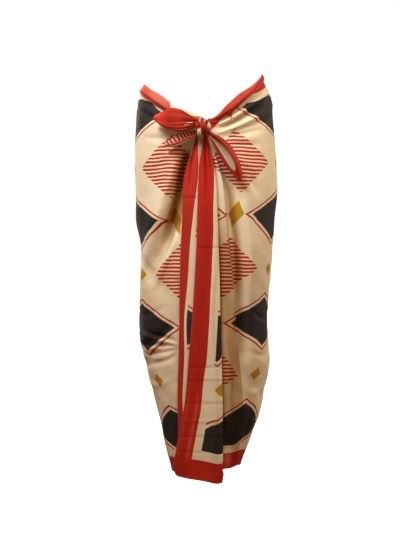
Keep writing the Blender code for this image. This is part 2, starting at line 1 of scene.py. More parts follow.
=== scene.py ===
"""Sarong of bordered cotton voile, wrapped, pleated and knotted at the front centre.

Metres, +Z up, front towards -Y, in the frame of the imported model; only the tables are in mm.
`around` is a length along the cloth from the front centre, to the right (+X) when positive, and
`out` is a height above the wound form.
"""

import math
from functools import partial

import bpy
import numpy as np
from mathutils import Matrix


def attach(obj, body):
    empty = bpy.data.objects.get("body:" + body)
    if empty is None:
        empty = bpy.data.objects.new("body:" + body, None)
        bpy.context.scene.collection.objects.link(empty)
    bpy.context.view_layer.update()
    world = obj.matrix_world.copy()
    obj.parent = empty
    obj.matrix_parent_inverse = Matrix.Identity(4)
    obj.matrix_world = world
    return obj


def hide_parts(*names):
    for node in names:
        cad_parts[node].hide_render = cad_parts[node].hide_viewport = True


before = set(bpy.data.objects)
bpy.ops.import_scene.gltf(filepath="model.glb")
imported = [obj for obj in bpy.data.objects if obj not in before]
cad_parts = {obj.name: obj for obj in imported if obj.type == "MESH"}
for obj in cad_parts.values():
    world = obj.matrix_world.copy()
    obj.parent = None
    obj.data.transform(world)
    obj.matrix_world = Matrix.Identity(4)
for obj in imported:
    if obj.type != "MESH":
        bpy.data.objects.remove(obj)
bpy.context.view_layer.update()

# Driving dimensions, as in the solids. TURN is the radius of a soft fold, and also the step from
# one layer of cloth to the next.
TURN = 0.0016
ROUNDNESS = 2.25
KNOT_AT = (-0.006, -0.142, -0.012)
KNOT_RISE = 0.010
KNOT_RISE_REACH = 0.055
LAYERS_TOP = -0.024

# Hems of the cascade, the under pleat, the hidden stretch beside it, and the hidden stretch
# behind the front pleat
CASCADE_HEM = -0.882
UNDER_HEM = -0.8675
BESIDE_HEM = -0.8715
HIDDEN_HEM = -0.878

# The cloth itself: voile is drawn 0.4 mm thick, with a printed border 41 mm wide, and bare
# ground to 60 mm from the edge
VOILE = 0.0004
BORDER = 0.041
BARE = 0.060
HEM_WIDTH = 0.0042
HEM_THICKNESS = 0.0013
HEM_INSET = 0.42
HEM_SIDES = 8

# Steps of the fine grids; LADDER holds the heights at which the hanging layers are drawn out
FLAP_ROWS = 9
TURN_STEPS = 6
PANEL_ROWS = 250
PANEL_COLUMNS = {"left": 112, "right": 108, "back": 76}
LAYER_ROWS = 250
LADDER = np.linspace(-0.95, -0.02, 240)
FOLD_STEPS = 25
FREE_COLUMNS = 26
HIDDEN_COLUMNS = 14
TAIL_ROWS = 96
TAIL_COLUMNS = 72


# Columns of the tables that hold angles, waves or shares; all others are lengths in mm
NOT_LENGTHS = {"angle", "share", "along", "forward", "slope", "phase"}


def table(names, rows):
    """A short table, as one array for each named column, with its lengths turned to metres."""
    names = names.split()
    per_metre = [1 if name in NOT_LENGTHS else 1000 for name in names]
    return dict(zip(names, (np.array(rows, float) / per_metre).T))


def rows_of(columns):
    """The rows of such a table, each by the names of its columns."""
    return [dict(zip(columns, values)) for values in zip(*columns.values())]


# The wound form, from the hem up: how far it reaches to each side at a height
FORM = table("height left right front back", [
    (-960, -82, 68, 78, 83),
    (-876, -91, 87, 83, 86),
    (-829, -105, 104, 88, 88),
    (-783, -114, 121, 92, 90),
    (-736, -125, 138, 96, 92),
    (-673, -140, 148, 100, 95),
    (-611, -156, 161, 104, 98),
    (-549, -171, 160, 108, 102),
    (-486, -173, 158, 111, 107),
    (-367, -171, 169, 115, 117),
    (-289, -171, 174, 117, 124),
    (-237, -181, 178, 118, 129),
    (-174, -182, 184, 119, 135),
    (-81, -185, 182, 119, 137),
    (13, -182, 175, 115, 126),
    (60, -178, 171, 111, 116),
    (90, -172, 166, 107, 110),
    (112, -160, 154, 103, 106),
    (150, -146, 141, 96, 98),
])

# The waist edge and what is turned down over it, by angle from the front centre
WAIST = table("angle top flap", [
    (-180, 30, 115),
    (-165, 45, 104),
    (-150, 72, 82),
    (-131, 100, 52),
    (-110, 112, 24),
    (-90, 113, 16),
    (-75.5, 111, 21),
    (-49, 89, 28),
    (-37.7, 76, 32),
    (-28.3, 58, 33),
    (-22, 44, 30),
    (-15.5, 38, 24),
    (-11, 32, 20),
    (-7, 26, 16),
    (-2.7, 20, 12),
    (2, 12, 10),
    (8.8, 24, 18),
    (13.6, 42, 24),
    (20.4, 61, 31),
    (27, 77, 29),
    (34.6, 89, 24),
    (45.4, 103, 17),
    (59.6, 120, 12),
    (85, 140, 9),
    (110, 128, 16),
    (131, 108, 48),
    (150, 76, 80),
    (165, 46, 104),
    (180, 30, 115),
])

# The hem of the panels and the back, by the same angle
HEM = table("angle height", [
    (-180, -884),
    (-90, -884),
    (-40, -884),
    (0, -880),
    (20, -871),
    (60, -867),
    (90, -870),
    (180, -884),
])

# The upright edges and folds of the front, seen from the front
LINES = table("height cascade cascade_turn inner_turn middle_turn middle_edge front_edge free_edge", [
    (-960, -69, -18, 2, 66, 52, 41.5, -88.5),
    (-871, -69, -16, 5, 79, 60, 42.1, -83.2),
    (-794, -69, -11, 7, 89, 70, 42.4, -70.8),
    (-693, -72, -6, 9, 94, 78, 41.2, -52.8),
    (-582, -69, -1, 11, 85, 80, 38.6, -43.7),
    (-491, -67.5, 2, 11, 70, 76, 36, -35.6),
    (-391, -66, 2, 11, 54, 67, 33.7, -29.1),
    (-291, -63, -1, 9, 40, 56, 30.4, -24.1),
    (-216, -59, -3, 7, 30, 49, 28.1, -22.3),
    (-142, -56, -6, 5, 20, 40.6, 23.8, -19.8),
    (-104, -47, -7, 3, 14, 31.8, 18.1, -17.3),
    (-67, -34, -7, -1, 7.8, 18.1, 10.5, -11.9),
    (-37, -25.6, -8, -4, 2, 9.5, 5.2, -6),
])

# How much of the red border shows beside both upright free edges: it is gathered into the
# knot at the top, and the edge of the cascade rolls in lower down
SHOWN_BORDER = table("height cascade pleat", [
    (-871, 13, 41.6),
    (-794, 13, 41),
    (-693, 13, 38),
    (-582, 14.3, 41.6),
    (-491, 12.5, 41.9),
    (-391, 19.8, 41),
    (-291, 23.4, 40),
    (-216, 27.8, 39.5),
    (-142, 34, 38.5),
    (-104, 27, 35),
    (-67, 14, 23.4),
    (-37, 5.5, 11),
    (-24, 4, 7),
])

# The hem of the front pleat, by the share of its width from the free edge to the pleat edge
PLEAT_HEM = table("share height", [
    (0.00, -874),
    (0.08, -887),
    (0.25, -893),
    (0.45, -896),
    (0.75, -902),
    (0.93, -907),
    (1.00, -905),
])

FOLD_NAMES = "around height by_around by_height to_around to_height left_reach right_reach rise"

# Large folds, which the solids have too, a few of them deeper or shallower there: a bent line,
# its reach to each side and its height
LARGE_FOLDS = table(FOLD_NAMES, [
    # the deep fold that the knot draws across the left panel, and the ridge above it
    (-52, -60, -84, -232, -156, -356, 16, 23, -24),
    (-78, -90, -118, -215, -168, -345, 30, 12, 10),
    # the hollow beside the pleats and the ridge beyond it
    (38, -110, 72, -250, 96, -570, 11, 18, -13),
    (90, -560, 66, -670, 54, -900, 14, 20, -9),
    (88, -120, 112, -290, 124, -600, 14, 24, 9),
    # pulls from the knot to the two high points of the waist
    (-38, 4, -110, 37, -205, 80, 10, 11, -6),
    (-34, -14, -100, 6, -200, 46, 10, 12, -6),
    (28, -4, 80, 32, 175, 94, 9, 10, -6),
    (34, -16, 90, 14, 170, 60, 10, 11, -6),
    (40, -30, 100, -8, 185, 24, 11, 13, -5),
    # level creases two thirds of the way down the left
    (-86, -505, -130, -540, -205, -570, 10, 13, -6),
    (-86, -540, -125, -568, -190, -610, 10, 14, -5),
    # hanging folds of the back and the sides, which run out at the hem
    (475, -40, 440, -480, 262, -1050, 28, 32, -16),
    (415, -20, 380, -500, 205, -1050, 26, 28, 12),
    (350, -80, 320, -520, 160, -1050, 24, 28, -14),
    (275, -260, 250, -580, 120, -1050, 22, 26, 8),
    (-440, -60, -410, -500, -230, -1050, 30, 26, -15),
    (-370, -100, -345, -520, -180, -1050, 26, 26, 12),
    (-305, -160, -285, -560, -140, -1050, 24, 24, -12),
    # the pull across the back towards both sides
    (250, 20, 350, -20, 480, -35, 16, 20, -7),
    (-250, -10, -350, -40, -470, -50, 20, 16, -7),
])

# Small creases, too fine for the solids
CREASES = table(FOLD_NAMES, [
    # gathers that fan out from the knot over the right panel
    (22, 6, 60, 26, 118, 70, 5, 6, -5),
    (26, 0, 70, 16, 150, 70, 5, 7, 4),
    (30, -10, 90, 20, 190, 82, 5, 7, -5.5),
    (30, -22, 90, -2, 160, 34, 6, 8, 4),
    (32, -34, 84, -26, 150, -10, 6, 8, -5),
    (36, -48, 80, -52, 140, -50, 6, 10, -4),
    (34, -58, 70, -80, 120, -110, 6, 10, 3.5),
    (24, 3, 64, 21, 120, 60, 3.5, 4.5, -3.6),
    (28, -5, 80, 12, 165, 70, 3.5, 4.5, -3.4),
    (30, -16, 88, 8, 160, 50, 3.5, 5, -3.6),
    (32, -28, 82, -12, 150, 14, 3.5, 5, -3),
    # the bottom of the deep fold on the left, and the ridge between it and the cascade
    (-64, -100, -87, -215, -124, -298, 10, 11, -13),
    (-48, -50, -62, -130, -70, -215, 6, 12, -7),
    (-76, -232, -88, -305, -132, -405, 13, 9, 9),
    # the round hollow under the point of the right-hand end
    (110, -128, 122, -150, 136, -172, 10, 12, -4.5),
    # gathers that fan out over the left panel
    (-34, 0, -80, 22, -150, 54, 5, 6, -4.5),
    (-34, -8, -90, 10, -170, 44, 5, 7, 3.5),
    (-40, -30, -84, -36, -160, -30, 6, 8, -4),
    (-40, -44, -80, -70, -150, -100, 6, 9, 3.5),
    (-38, -52, -66, -120, -110, -200, 6, 9, -4.5),
    (-60, -200, -100, -300, -176, -400, 7, 10, -4),
    # two pressed lines on the left panel
    (-107, -50, -108, -88, -109, -125, 2, 3, -2),
    (-152, 41, -136, 32, -116, 21, 2, 3, -2.2),
    # the fan of creases that the cascade holds two thirds of the way down
    (-70, -548, -110, -536, -215, -509, 4, 6, -4.5),
    (-70, -553, -115, -545, -210, -530, 4, 5, 3),
    (-70, -556, -110, -557, -195, -556, 4, 6, -4),
    (-70, -562, -108, -574, -176, -579, 4, 6, -4.5),
    (-70, -570, -108, -596, -170, -601, 5, 7, -4),
    # creases at both sides, close to the waist edge
    (-235, 60, -190, 40, -150, 34, 5, 6, -2.6),
    (235, 110, 196, 80, 158, 28, 6, 8, -3.4),
    (240, 70, 200, 50, 166, 4, 6, 9, 2.4),
    # the broad hollows beside the front pleat, low down, and a third of the way down the left
    (108, -380, 102, -580, 74, -860, 24, 30, -4.5),
    (88, -390, 104, -520, 112, -660, 20, 30, -5),
    (-220, -330, -165, -370, -110, -420, 22, 26, -6),
    # soft creases on the lower half
    (-220, -470, -160, -480, -100, -458, 6, 8, -2.6),
    (-224, -600, -170, -610, -110, -590, 6, 9, -2.4),
    (-210, -640, -150, -662, -90, -640, 7, 10, 2),
    (230, -470, 176, -490, 130, -470, 6, 8, -2.4),
    (224, -556, 170, -584, 120, -570, 6, 9, -2.8),
    (200, -640, 150, -676, 110, -672, 7, 9, 2),
    (-60, -640, -80, -740, -84, -860, 7, 10, -3),
    (-110, -600, -126, -720, -120, -880, 10, 14, 2.8),
    (120, -640, 112, -740, 98, -880, 8, 10, -3),
    # creases of the back
    (300, -180, 380, -215, 470, -205, 8, 10, -3),
    (-300, -205, -380, -236, -470, -222, 8, 10, -2.8),
    (300, -520, 360, -546, 430, -536, 7, 9, -2.6),
    (-290, -540, -350, -566, -420, -548, 7, 9, -2.6),
    (250, 60, 320, 50, 430, -4, 6, 8, -2.8),
    (-250, 50, -320, 36, -420, -14, 6, 8, -2.8),
])

# Soft rises of the hanging layers themselves, along their whole length, and their gathers
# under the knot
LAYER_FOLDS = table(FOLD_NAMES, [
    (2, -60, 4, -300, -6, -760, 6, 9, -1.6),
    (18, -80, 20, -400, 16, -860, 6, 6, 1.6),
    (-8, -80, -12, -340, -40, -820, 6, 6, 1.4),
    (30, -300, 28, -560, 26, -880, 5, 6, -1.2),
    (46, -200, 52, -440, 58, -700, 6, 8, 1.4),
    (-20, -500, -34, -680, -56, -880, 8, 10, 1.6),
    (-2, -30, -1, -90, -2, -190, 3, 4, -4),
    (6, -30, 10, -90, 14, -170, 2.6, 3, -2.6),
    (12, -40, 22, -100, 30, -180, 2.6, 3, -2.6),
    (-18, -30, -34, -90, -44, -170, 3, 4, -3.6),
    (-12, -34, -20, -90, -26, -150, 2.6, 3, 2),
])

# Pressed lines from the cloth's time folded flat: a height, its reach and its rise
PRESSED_PLEAT = table("height reach rise", [
    (-311, 2.4, -1.2),
    (-610, 2.4, -1.1),
    (-640, 2.4, 1.1),
    (-702, 3.4, -0.8),
    (-748, 3.4, 0.8),
    (-786, 3, -0.9),
    (-826, 3.4, -0.7),
])
PRESSED_CASCADE = table("height reach rise", [
    (-186, 1.8, -1.2),
])


# Curves


def smooth(at, places, values):
    """A cubic curve through the points of a table, level beyond its ends."""
    at = np.clip(np.asarray(at, float), places[0], places[-1])
    steps = np.diff(places)
    rises = np.diff(values) / steps
    slopes = np.empty(len(places))
    slopes[1:-1] = (rises[1:] * steps[:-1] + rises[:-1] * steps[1:]) / (steps[1:] + steps[:-1])
    slopes[0] = rises[0]
    slopes[-1] = rises[-1]
    low = np.clip(np.searchsorted(places, at) - 1, 0, len(steps) - 1)
    step = steps[low]
    part = (at - places[low]) / step
    left = 1 - part
    start = (1 + 2 * part) * left ** 2 * values[low] + part * left ** 2 * step * slopes[low]
    end = part ** 2 * (3 - 2 * part) * values[low + 1] - part ** 2 * left * step * slopes[low + 1]
    return start + end


def ease(part):
    """A soft step from 0 to 1."""
    part = np.clip(part, 0, 1)
    return part * part * (3 - 2 * part)


def ramp(value, start, end):
    """A soft step, from 0 at one value to 1 at another."""
    return ease((value - start) / (end - start))


def hump(value, middle, reach, power=2):
    """A soft hump of height 1 round a middle."""
    return np.exp(-((value - middle) / reach) ** power)


def bent_line(row, axes, count):
    """Points along the line in a row of a table, from its start past its middle to its end."""
    start, middle, end = [
        np.array([row[point + axis] for axis in axes]) for point in ("", "by_", "to_")]
    share = np.linspace(0, 1, count)[:, None]
    handle = 2 * middle - (start + end) / 2
    return (1 - share) ** 2 * start + 2 * share * (1 - share) * handle + share ** 2 * end


def evenly(columns, count):
    """The columns of a table as curves through its rows, which are evenly spaced."""
    at = np.linspace(0, 1, count)
    return {
        name: smooth(at, np.linspace(0, 1, len(column)), column)
        for name, column in columns.items()}


def unit(directions):
    """The same directions, each of length 1."""
    return directions / np.linalg.norm(directions, axis=1)[:, None]


# The wound form


def form_point(angle, height):
    """Place and outward direction on the form, at an angle in degrees from the front centre."""
    sine = np.sin(np.radians(angle))
    cosine = np.cos(np.radians(angle))
    reach = {side: smooth(height, FORM["height"], FORM[side]) for side in FORM}
    half = (reach["right"] - reach["left"]) / 2
    deep = np.where(cosine > 0, reach["front"], reach["back"])
    across = np.sign(sine) * np.abs(sine) ** (2 / ROUNDNESS)
    along = -np.sign(cosine) * np.abs(cosine) ** (2 / ROUNDNESS)
    x = (reach["left"] + reach["right"]) / 2 + half * across
    y = deep * along
    normal_x = np.sign(across) * np.abs(across) ** (ROUNDNESS - 1) / half
    normal_y = np.sign(along) * np.abs(along) ** (ROUNDNESS - 1) / deep
    length = np.hypot(normal_x, normal_y)
    return x, y, normal_x / length, normal_y / length


LEVEL_STEP = 0.01
LEVELS = np.arange(-0.96, 0.1701, LEVEL_STEP)
ANGLES = np.linspace(-180, 180, 481)


def measure_form():
    """Length round the form from the front centre to each angle, at each level."""
    lengths = []
    for level in LEVELS:
        x, y, _, _ = form_point(ANGLES, np.full_like(ANGLES, level))
        steps = np.hypot(np.diff(x), np.diff(y))
        length = np.concatenate([[0], np.cumsum(steps)])
        lengths.append(length - length[len(ANGLES) // 2])
    return np.array(lengths)


LENGTHS = measure_form()


def angle_at(around, height):
    """The angle of the place that lies `around` along the form from the front centre."""
    around, height = np.broadcast_arrays(np.asarray(around, float), np.asarray(height, float))
    level = (height - LEVELS[0]) / LEVEL_STEP
    low = np.clip(level.astype(int), 0, len(LEVELS) - 2)
    part = level - low
    angle = np.empty(around.shape)
    for index in np.unique(low):
        here = low == index
        below = np.interp(around[here], LENGTHS[index], ANGLES)
        above = np.interp(around[here], LENGTHS[index + 1], ANGLES)
        angle[here] = below + (above - below) * part[here]
    return angle


def around_at_angle(angle, height):
    """The length along the form from the front centre to an angle."""
    column = np.array([np.interp(angle, ANGLES, length) for length in LENGTHS])
    return np.interp(height, LEVELS, column)


def line_around(name, out):
    """An upright line of the front, as a length along the form at each level."""
    found = []
    for level, length in zip(LEVELS, LENGTHS):
        x, _, normal_x, _ = form_point(ANGLES, np.full_like(ANGLES, level))
        front = np.abs(ANGLES) < 89
        place = smooth(level, LINES["height"], LINES[name])
        found.append(np.interp(place, (x + out * normal_x)[front], length[front]))
    return np.array(found)


# How many steps above the form each of the lines lies
LINE_LAYERS = {
    "cascade": 2,
    "cascade_turn": 1,
    "inner_turn": 5,
    "middle_turn": 1,
    "middle_edge": 3,
    "front_edge": 7,
    "free_edge": 5,
}
LINE_AROUND = {name: line_around(name, layers * TURN) for name, layers in LINE_LAYERS.items()}


def line_at(name, height):
    """One of those lines at any height."""
    return np.interp(height, LEVELS, LINE_AROUND[name])


def cloth_point(around, height, out):
    """A place on the cloth."""
    x, y, normal_x, normal_y = form_point(angle_at(around, height), height)
    return np.stack([x + out * normal_x, y + out * normal_y, height], axis=-1)


# Folds


def fold_depth(around, height, folds):
    """How far the folds of a table raise or sink the cloth."""
    depth = np.zeros(np.shape(around))
    for row in rows_of(folds):
        line = bent_line(row, ("around", "height"), FOLD_STEPS)
        # beyond three times its reach a fold has run out
        margin = 3 * max(row["left_reach"], row["right_reach"])
        near = (around > line[:, 0].min() - margin) & (around < line[:, 0].max() + margin)
        near &= (height > line[:, 1].min() - margin) & (height < line[:, 1].max() + margin)
        if not near.any():
            continue
        points = np.stack([around[near], height[near]], axis=-1)
        best = np.full(len(points), 1e9)
        share = np.zeros(len(points))
        side = np.zeros(len(points))
        for step, (start, end) in enumerate(zip(line[:-1], line[1:])):
            course = end - start
            gap = points - start
            part = np.clip(gap @ course / (course @ course), 0, 1)
            off = gap - part[:, None] * course
            distance = np.hypot(off[:, 0], off[:, 1])
            closer = distance < best
            best[closer] = distance[closer]
            share[closer] = (step + part[closer]) / (len(line) - 1)
            side[closer] = (course[0] * gap[:, 1] - course[1] * gap[:, 0])[closer]
        side = side * np.sign(line[0, 1] - line[-1, 1])
        reach = np.where(side > 0, row["right_reach"], row["left_reach"])
        # it fades towards both ends of its line
        fade = np.sin(np.pi * (share * 0.9 + 0.05)) ** 0.6
        depth[near] += row["rise"] * fade * hump(best, 0, reach)
    return depth


# Soft unevenness of thin cloth that hangs: waves across it, by wavelength, direction and height
UNEVEN = table("length slope phase rise", [
    (170, 0.30, 0.4, 1.1),
    (104, -0.45, 2.1, 0.8),
    (67, 0.80, 4.4, 0.5),
    (43, -0.20, 1.2, 0.3),
])


def unevenness(around, height):
    """Slow waves, stronger low down where nothing pulls the cloth tight."""
    depth = np.zeros(np.shape(around))
    bend = 0.02 * np.sin(height * 21 + 1.3)
    for length, slope, phase, rise in zip(*UNEVEN.values()):
        depth += rise * np.sin((around + bend + slope * height) * 2 * np.pi / length + phase)
    return depth * (0.35 + 0.65 * ramp(height, -0.05, -0.55))


def knot_pull(around, height):
    """The swelling of every layer towards the knot."""
    far = np.hypot(around - KNOT_AT[0], (height - KNOT_AT[2]) * 0.8)
    return KNOT_RISE * hump(far, 0, KNOT_RISE_REACH)


def wound_folds(around, height):
    """All folds and creases of the wound cloth."""
    return fold_depth(around, height, LARGE_FOLDS) + fold_depth(around, height, CREASES)


# Sheets of cloth


def back_length(around, height):
    """Length along the cloth from the back centre, so that the print runs on round the back."""
    half = np.where(
        around > 0,
        around_at_angle(180, height),
        -around_at_angle(-180, height))
    return np.sign(around) * (np.abs(around) - half)


def make_piece(name, points, faces, materials, flat=None, flat_name=""):
    """A smooth mesh in the scene; `flat` is the place of each of its points on the flat cloth."""
    mesh = bpy.data.meshes.new(name)
    mesh.from_pydata(points, [], faces)
    if flat is not None:
        corners = np.empty(len(mesh.loops), dtype=np.int32)
        mesh.loops.foreach_get("vertex_index", corners)
        mesh.uv_layers.new(name=flat_name).data.foreach_set("uv", flat[corners].ravel())
    mesh.shade_smooth()
    for material in materials:
        mesh.materials.append(material)
    mesh.update()
    piece = bpy.data.objects.new(name, mesh)
    bpy.context.collection.objects.link(piece)
    return piece


def cloth_sheet(name, grid, lengths, heights, from_edge, deep, outward, materials):
    """One layer of voile over a grid, printed on the side that faces out at its first row.

    `lengths` and `heights` place every point on the flat cloth, `from_edge` is its distance
    from the nearest cut edge, and `deep` is painted shade and light, with the deeper colour of cloth
    that lies double: 1 for painted shade in the bottom of a fold, and below 0 for painted light
    where one layer has light behind it.
    """
    rows, columns, _ = grid.shape
    numbers = np.arange(rows * columns).reshape(rows, columns)
    corners = [numbers[:-1, :-1], numbers[:-1, 1:], numbers[1:, 1:], numbers[1:, :-1]]
    if not outward:
        corners = [corners[0]] + corners[:0:-1]
    faces = np.stack([corner.ravel() for corner in corners], axis=-1)
    flat = [np.broadcast_to(values, (rows, columns)).ravel() for values in (lengths, heights)]
    piece = make_piece(
        name, grid.reshape(-1, 3).tolist(), faces.tolist(), materials,
        np.stack(flat, axis=-1), "cloth")
    for label, values in (("from_edge", from_edge), ("deep", deep)):
        marks = piece.data.attributes.new(label, "FLOAT", "POINT")
        marks.data.foreach_set("value", np.broadcast_to(values, (rows, columns)).ravel())
    thickness = piece.modifiers.new("Voile thickness", "SOLIDIFY")
    thickness.thickness = VOILE
    thickness.offset = 0
    thickness.material_offset = 1
    thickness.material_offset_rim = 0
    return piece


def rolled_hem(name, edge, inner, material):
    """A narrow rolled hem along an edge of the cloth; `inner` is the next line of points in."""
    steps = np.hypot(*np.diff(edge, axis=0).T[:2]) + np.abs(np.diff(edge[:, 2]))
    keep = np.concatenate([[True], steps > 1e-6])
    edge = edge[keep]
    inner = inner[keep]
    course = unit(np.gradient(edge, axis=0))
    across = inner - edge
    across = unit(across - np.sum(across * course, axis=1)[:, None] * course)
    up = np.cross(course, across)
    length = np.concatenate([[0], np.cumsum(np.linalg.norm(np.diff(edge, axis=0), axis=1))])
    turn = np.arange(HEM_SIDES) * 2 * np.pi / HEM_SIDES
    centre = edge + across * HEM_WIDTH * HEM_INSET
    ring = centre[:, None] + across[:, None] * (HEM_WIDTH / 2 * np.cos(turn))[None, :, None]
    ring = ring + up[:, None] * (HEM_THICKNESS / 2 * np.sin(turn))[None, :, None]
    first = np.arange(len(edge) - 1)[:, None] * HEM_SIDES
    here = first + np.arange(HEM_SIDES)
    beside = first + (np.arange(HEM_SIDES) + 1) % HEM_SIDES
    corners = [here, here + HEM_SIDES, beside + HEM_SIDES, beside]
    faces = np.stack(corners, axis=-1).reshape(-1, 4)
    flat = [np.repeat(length, HEM_SIDES), np.tile(np.cos(turn), len(edge))]
    return make_piece(
        name, ring.reshape(-1, 3).tolist(), faces.tolist(), [material],
        np.stack(flat, axis=-1), "hem")


# Panels and back


# The height at which the hem's angles are measured
HEM_LEVEL = -0.87


def part_way(first, last, share, height):
    """The length along the form at a share of the way from one upright line to another."""
    return first(height) + (last(height) - first(height)) * share


def panel_rows(share, first, last):
    """Heights, heights above the form and distance from the top edge, down one column."""
    angle = angle_at(part_way(first, last, share, 0.0), 0.0)
    top = float(smooth(angle, WAIST["angle"], WAIST["top"]))
    flap = float(smooth(angle, WAIST["angle"], WAIST["flap"]))
    angle = angle_at(part_way(first, last, share, HEM_LEVEL), HEM_LEVEL)
    hem = float(smooth(angle, HEM["angle"], HEM["height"]))
    shoulder = top - TURN
    foot = top - flap
    down = np.linspace(1, 0, FLAP_ROWS + 1)[:-1]
    turn = np.linspace(0, math.pi, TURN_STEPS + 1)
    panel = np.linspace(0, 1, PANEL_ROWS + 1)[1:]
    height = np.concatenate([
        shoulder + (foot - shoulder) * down,
        shoulder + TURN * np.sin(turn),
        shoulder + (foot - shoulder) * down[::-1],
        foot + (hem - foot) * panel])
    # the flap stands off by 1 mm at its edge
    out = np.concatenate([
        np.full(FLAP_ROWS, 2 * TURN) + 0.001 * down,
        TURN + TURN * np.cos(turn),
        np.zeros(FLAP_ROWS + PANEL_ROWS)])
    from_top = np.concatenate([[0], np.cumsum(np.hypot(np.diff(height), np.diff(out)))])
    return height, out, from_top, height - hem


# Painted shade and light on the cloth, as depth of colour: 0 for one layer, 1 for painted shade
# at the bottom of a deep fold, and less than 0 for painted light where light shines through.
# Some of it is the deeper colour of cloth that lies double.
STRIP_HEM_DEEP = 0.8
STRIP_PALE = -0.10
STRIP_LIT = {"left": 0.7, "right": 0.2}
PULLED_STRIP_SHADE = 0.25
UNDERLAP_SHADE = {"left": 0.26, "right": 0.20, "right, beside the pleats": 0.14}
PRESSED_LINE_SHADE = 0.3
GATHERED_SHADE = 0.7
SHEER_CORNER_LIGHT = -1.6
SEE_THROUGH = {"wide line": -0.7, "line at the hem": -0.5}
UNDER_PLEAT_SHADE = {"all over": 0.42, "beside the front pleat": 0.62}
DOUBLE_LAYER_AND_SHADE = {"ground": 0.18, "border": 0.20}

# The share of their painted shade that the folds of the front lose where they run out, and that the
# gathers at the knot lose
FOLD_SHADE_LOSS = {"left": 0.75, "right": 0.90}
GATHER_SHADE_LOSS = {"left": 0.60, "right": 0.12}


def painted_fold_shade(depth):
    """How much painted shade lies in a fold: it starts 3 mm down and is full at 17 mm."""
    return ramp(depth, -0.003, -0.017)


def fold_shade_share(around, height):
    """The painted shade of the deep folds of the front is warm and dark at the knot and pale where
    they run out.
    """
    left = ramp(around, -0.21, -0.18) * (around < 0)
    left = left * ramp(height, -0.22, -0.33) * ramp(height, -0.46, -0.42)
    right = (around > 0) * ramp(height, -0.35, -0.45)
    folds = (1 - FOLD_SHADE_LOSS["left"] * left) * (1 - FOLD_SHADE_LOSS["right"] * right)
    gathers = np.where(around < 0, GATHER_SHADE_LOSS["left"], GATHER_SHADE_LOSS["right"])
    return folds * (1 - gathers * ramp(height, -0.085, -0.045))


def underlap_shade(around, height):
    """Painted shade low down in front, on both sides of the pleats, where the cloth lies over its own
    hidden end.
    """
    right = UNDERLAP_SHADE["right"] + UNDERLAP_SHADE["right, beside the pleats"] * ramp(
        around, 0.150, 0.090)
    right = right * ramp(around, 0.050, 0.062) * ramp(around, 0.230, 0.170)
    left = UNDERLAP_SHADE["left"] * ramp(around, -0.050, -0.062) * ramp(around, -0.290, -0.210)
    return right * ramp(height, -0.23, -0.39) + left * ramp(height, -0.31, -0.41)


def panel_grid(first, last, columns):
    """A stretch of the wrapped cloth from the turned-down edge to the hem.

    `first` and `last` give the length along the form of the two upright sides at a height.
    """
    places = []
    for share in np.linspace(0, 1, columns):
        height, out, from_top, from_hem = panel_rows(share, first, last)
        around = part_way(first, last, share, height)
        length = back_length(around, height)
        places.append(np.stack([around, height, out, length, from_top, from_hem], axis=-1))
    around, height, out, length, from_top, from_hem = np.array(places).transpose(2, 1, 0)
    folds = wound_folds(around, height)
    out = out + folds + unevenness(around, height) + knot_pull(around, height)
    grid = cloth_point(around, height, out)
    # painted shade in the bottom of the folds and in the hollows low down in front
    deep = painted_fold_shade(folds) * fold_shade_share(around, height) + underlap_shade(around, height)
    # the turned-down strip is deep red where its hem lies double, and elsewhere light shines
    # through it, most of all half-way between the knot and the sides
    flap = np.arange(grid.shape[0])[:, None] < FLAP_ROWS + TURN_STEPS // 2
    double = ramp(from_top, 0.010, 0.007)
    lit = STRIP_LIT["left"] * ramp(np.abs(around + 0.115), 0.075, 0)
    lit = lit + STRIP_LIT["right"] * ramp(np.abs(around - 0.120), 0.090, 0)
    deep = np.where(flap, double * STRIP_HEM_DEEP + (1 - double) * (STRIP_PALE - lit), deep)
    from_edge = np.minimum(from_top, np.maximum(from_hem, 0))
    # left of the knot the strip is pulled round, and the ground shows instead of the border; it
    # carries painted shade where it twists into the knot
    pulled = ramp(around, -0.090, -0.078) * ramp(around, -0.001, -0.009) * flap
    from_edge = np.where(flap, np.minimum(from_edge + BARE * pulled, BARE), from_edge)
    return grid, length, from_hem, from_edge, deep + PULLED_STRIP_SHADE * pulled


def dress(node, name, hem_name, parts, outward, hems, materials):
    """A sheet of voile in place of a node, with rolled hems along some of its sides."""
    voile, hem_material = materials
    grid = parts[0]
    lines = {
        "waist": (grid[0], grid[1]),
        "lower": (grid[-1], grid[-2]),
        "first": (grid[:, 0], grid[:, 1]),
        "side": (grid[:, -1], grid[:, -2]),
        "second": (grid[:, -1], grid[:, -2]),
    }
    piece = cloth_sheet(name, *parts, outward, voile)
    with_pieces = [
        rolled_hem(hem_name + "_" + hem + "_hem", *lines[hem], hem_material) for hem in hems]
    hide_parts(node)
    return piece, with_pieces


def side_by_side(parts):
    """Grids joined along their upright sides, the shared line taken once."""
    kept = [[value[:, :-1] for value in part] for part in parts[:-1]] + [parts[-1]]
    return [np.concatenate(values, axis=1) for values in zip(*kept)]


def make_panels(materials):
    """The left front, the right front and the back, with the hems of their two long edges."""
    back_from, left_side, right_side, back_to = [
        partial(around_at_angle, angle) for angle in (-180, -90, 90, 180)]
    left = panel_grid(
        left_side,
        lambda height: line_at("cascade_turn", height) - TURN,
        PANEL_COLUMNS["left"])
    right = panel_grid(
        lambda height: line_at("middle_turn", height) + TURN,
        right_side,
        PANEL_COLUMNS["right"])
    back = side_by_side([
        panel_grid(right_side, back_to, PANEL_COLUMNS["back"]),
        panel_grid(back_from, left_side, PANEL_COLUMNS["back"])])
    return [
        dress(node, name, name, parts, False, ("waist", "lower"), materials)
        for node, name, parts in (
            ("left_front", "left_panel", left),
            ("right_front", "right_panel", right),
            ("back_wrap", "back_panel", back))]


# Pleats and cascade


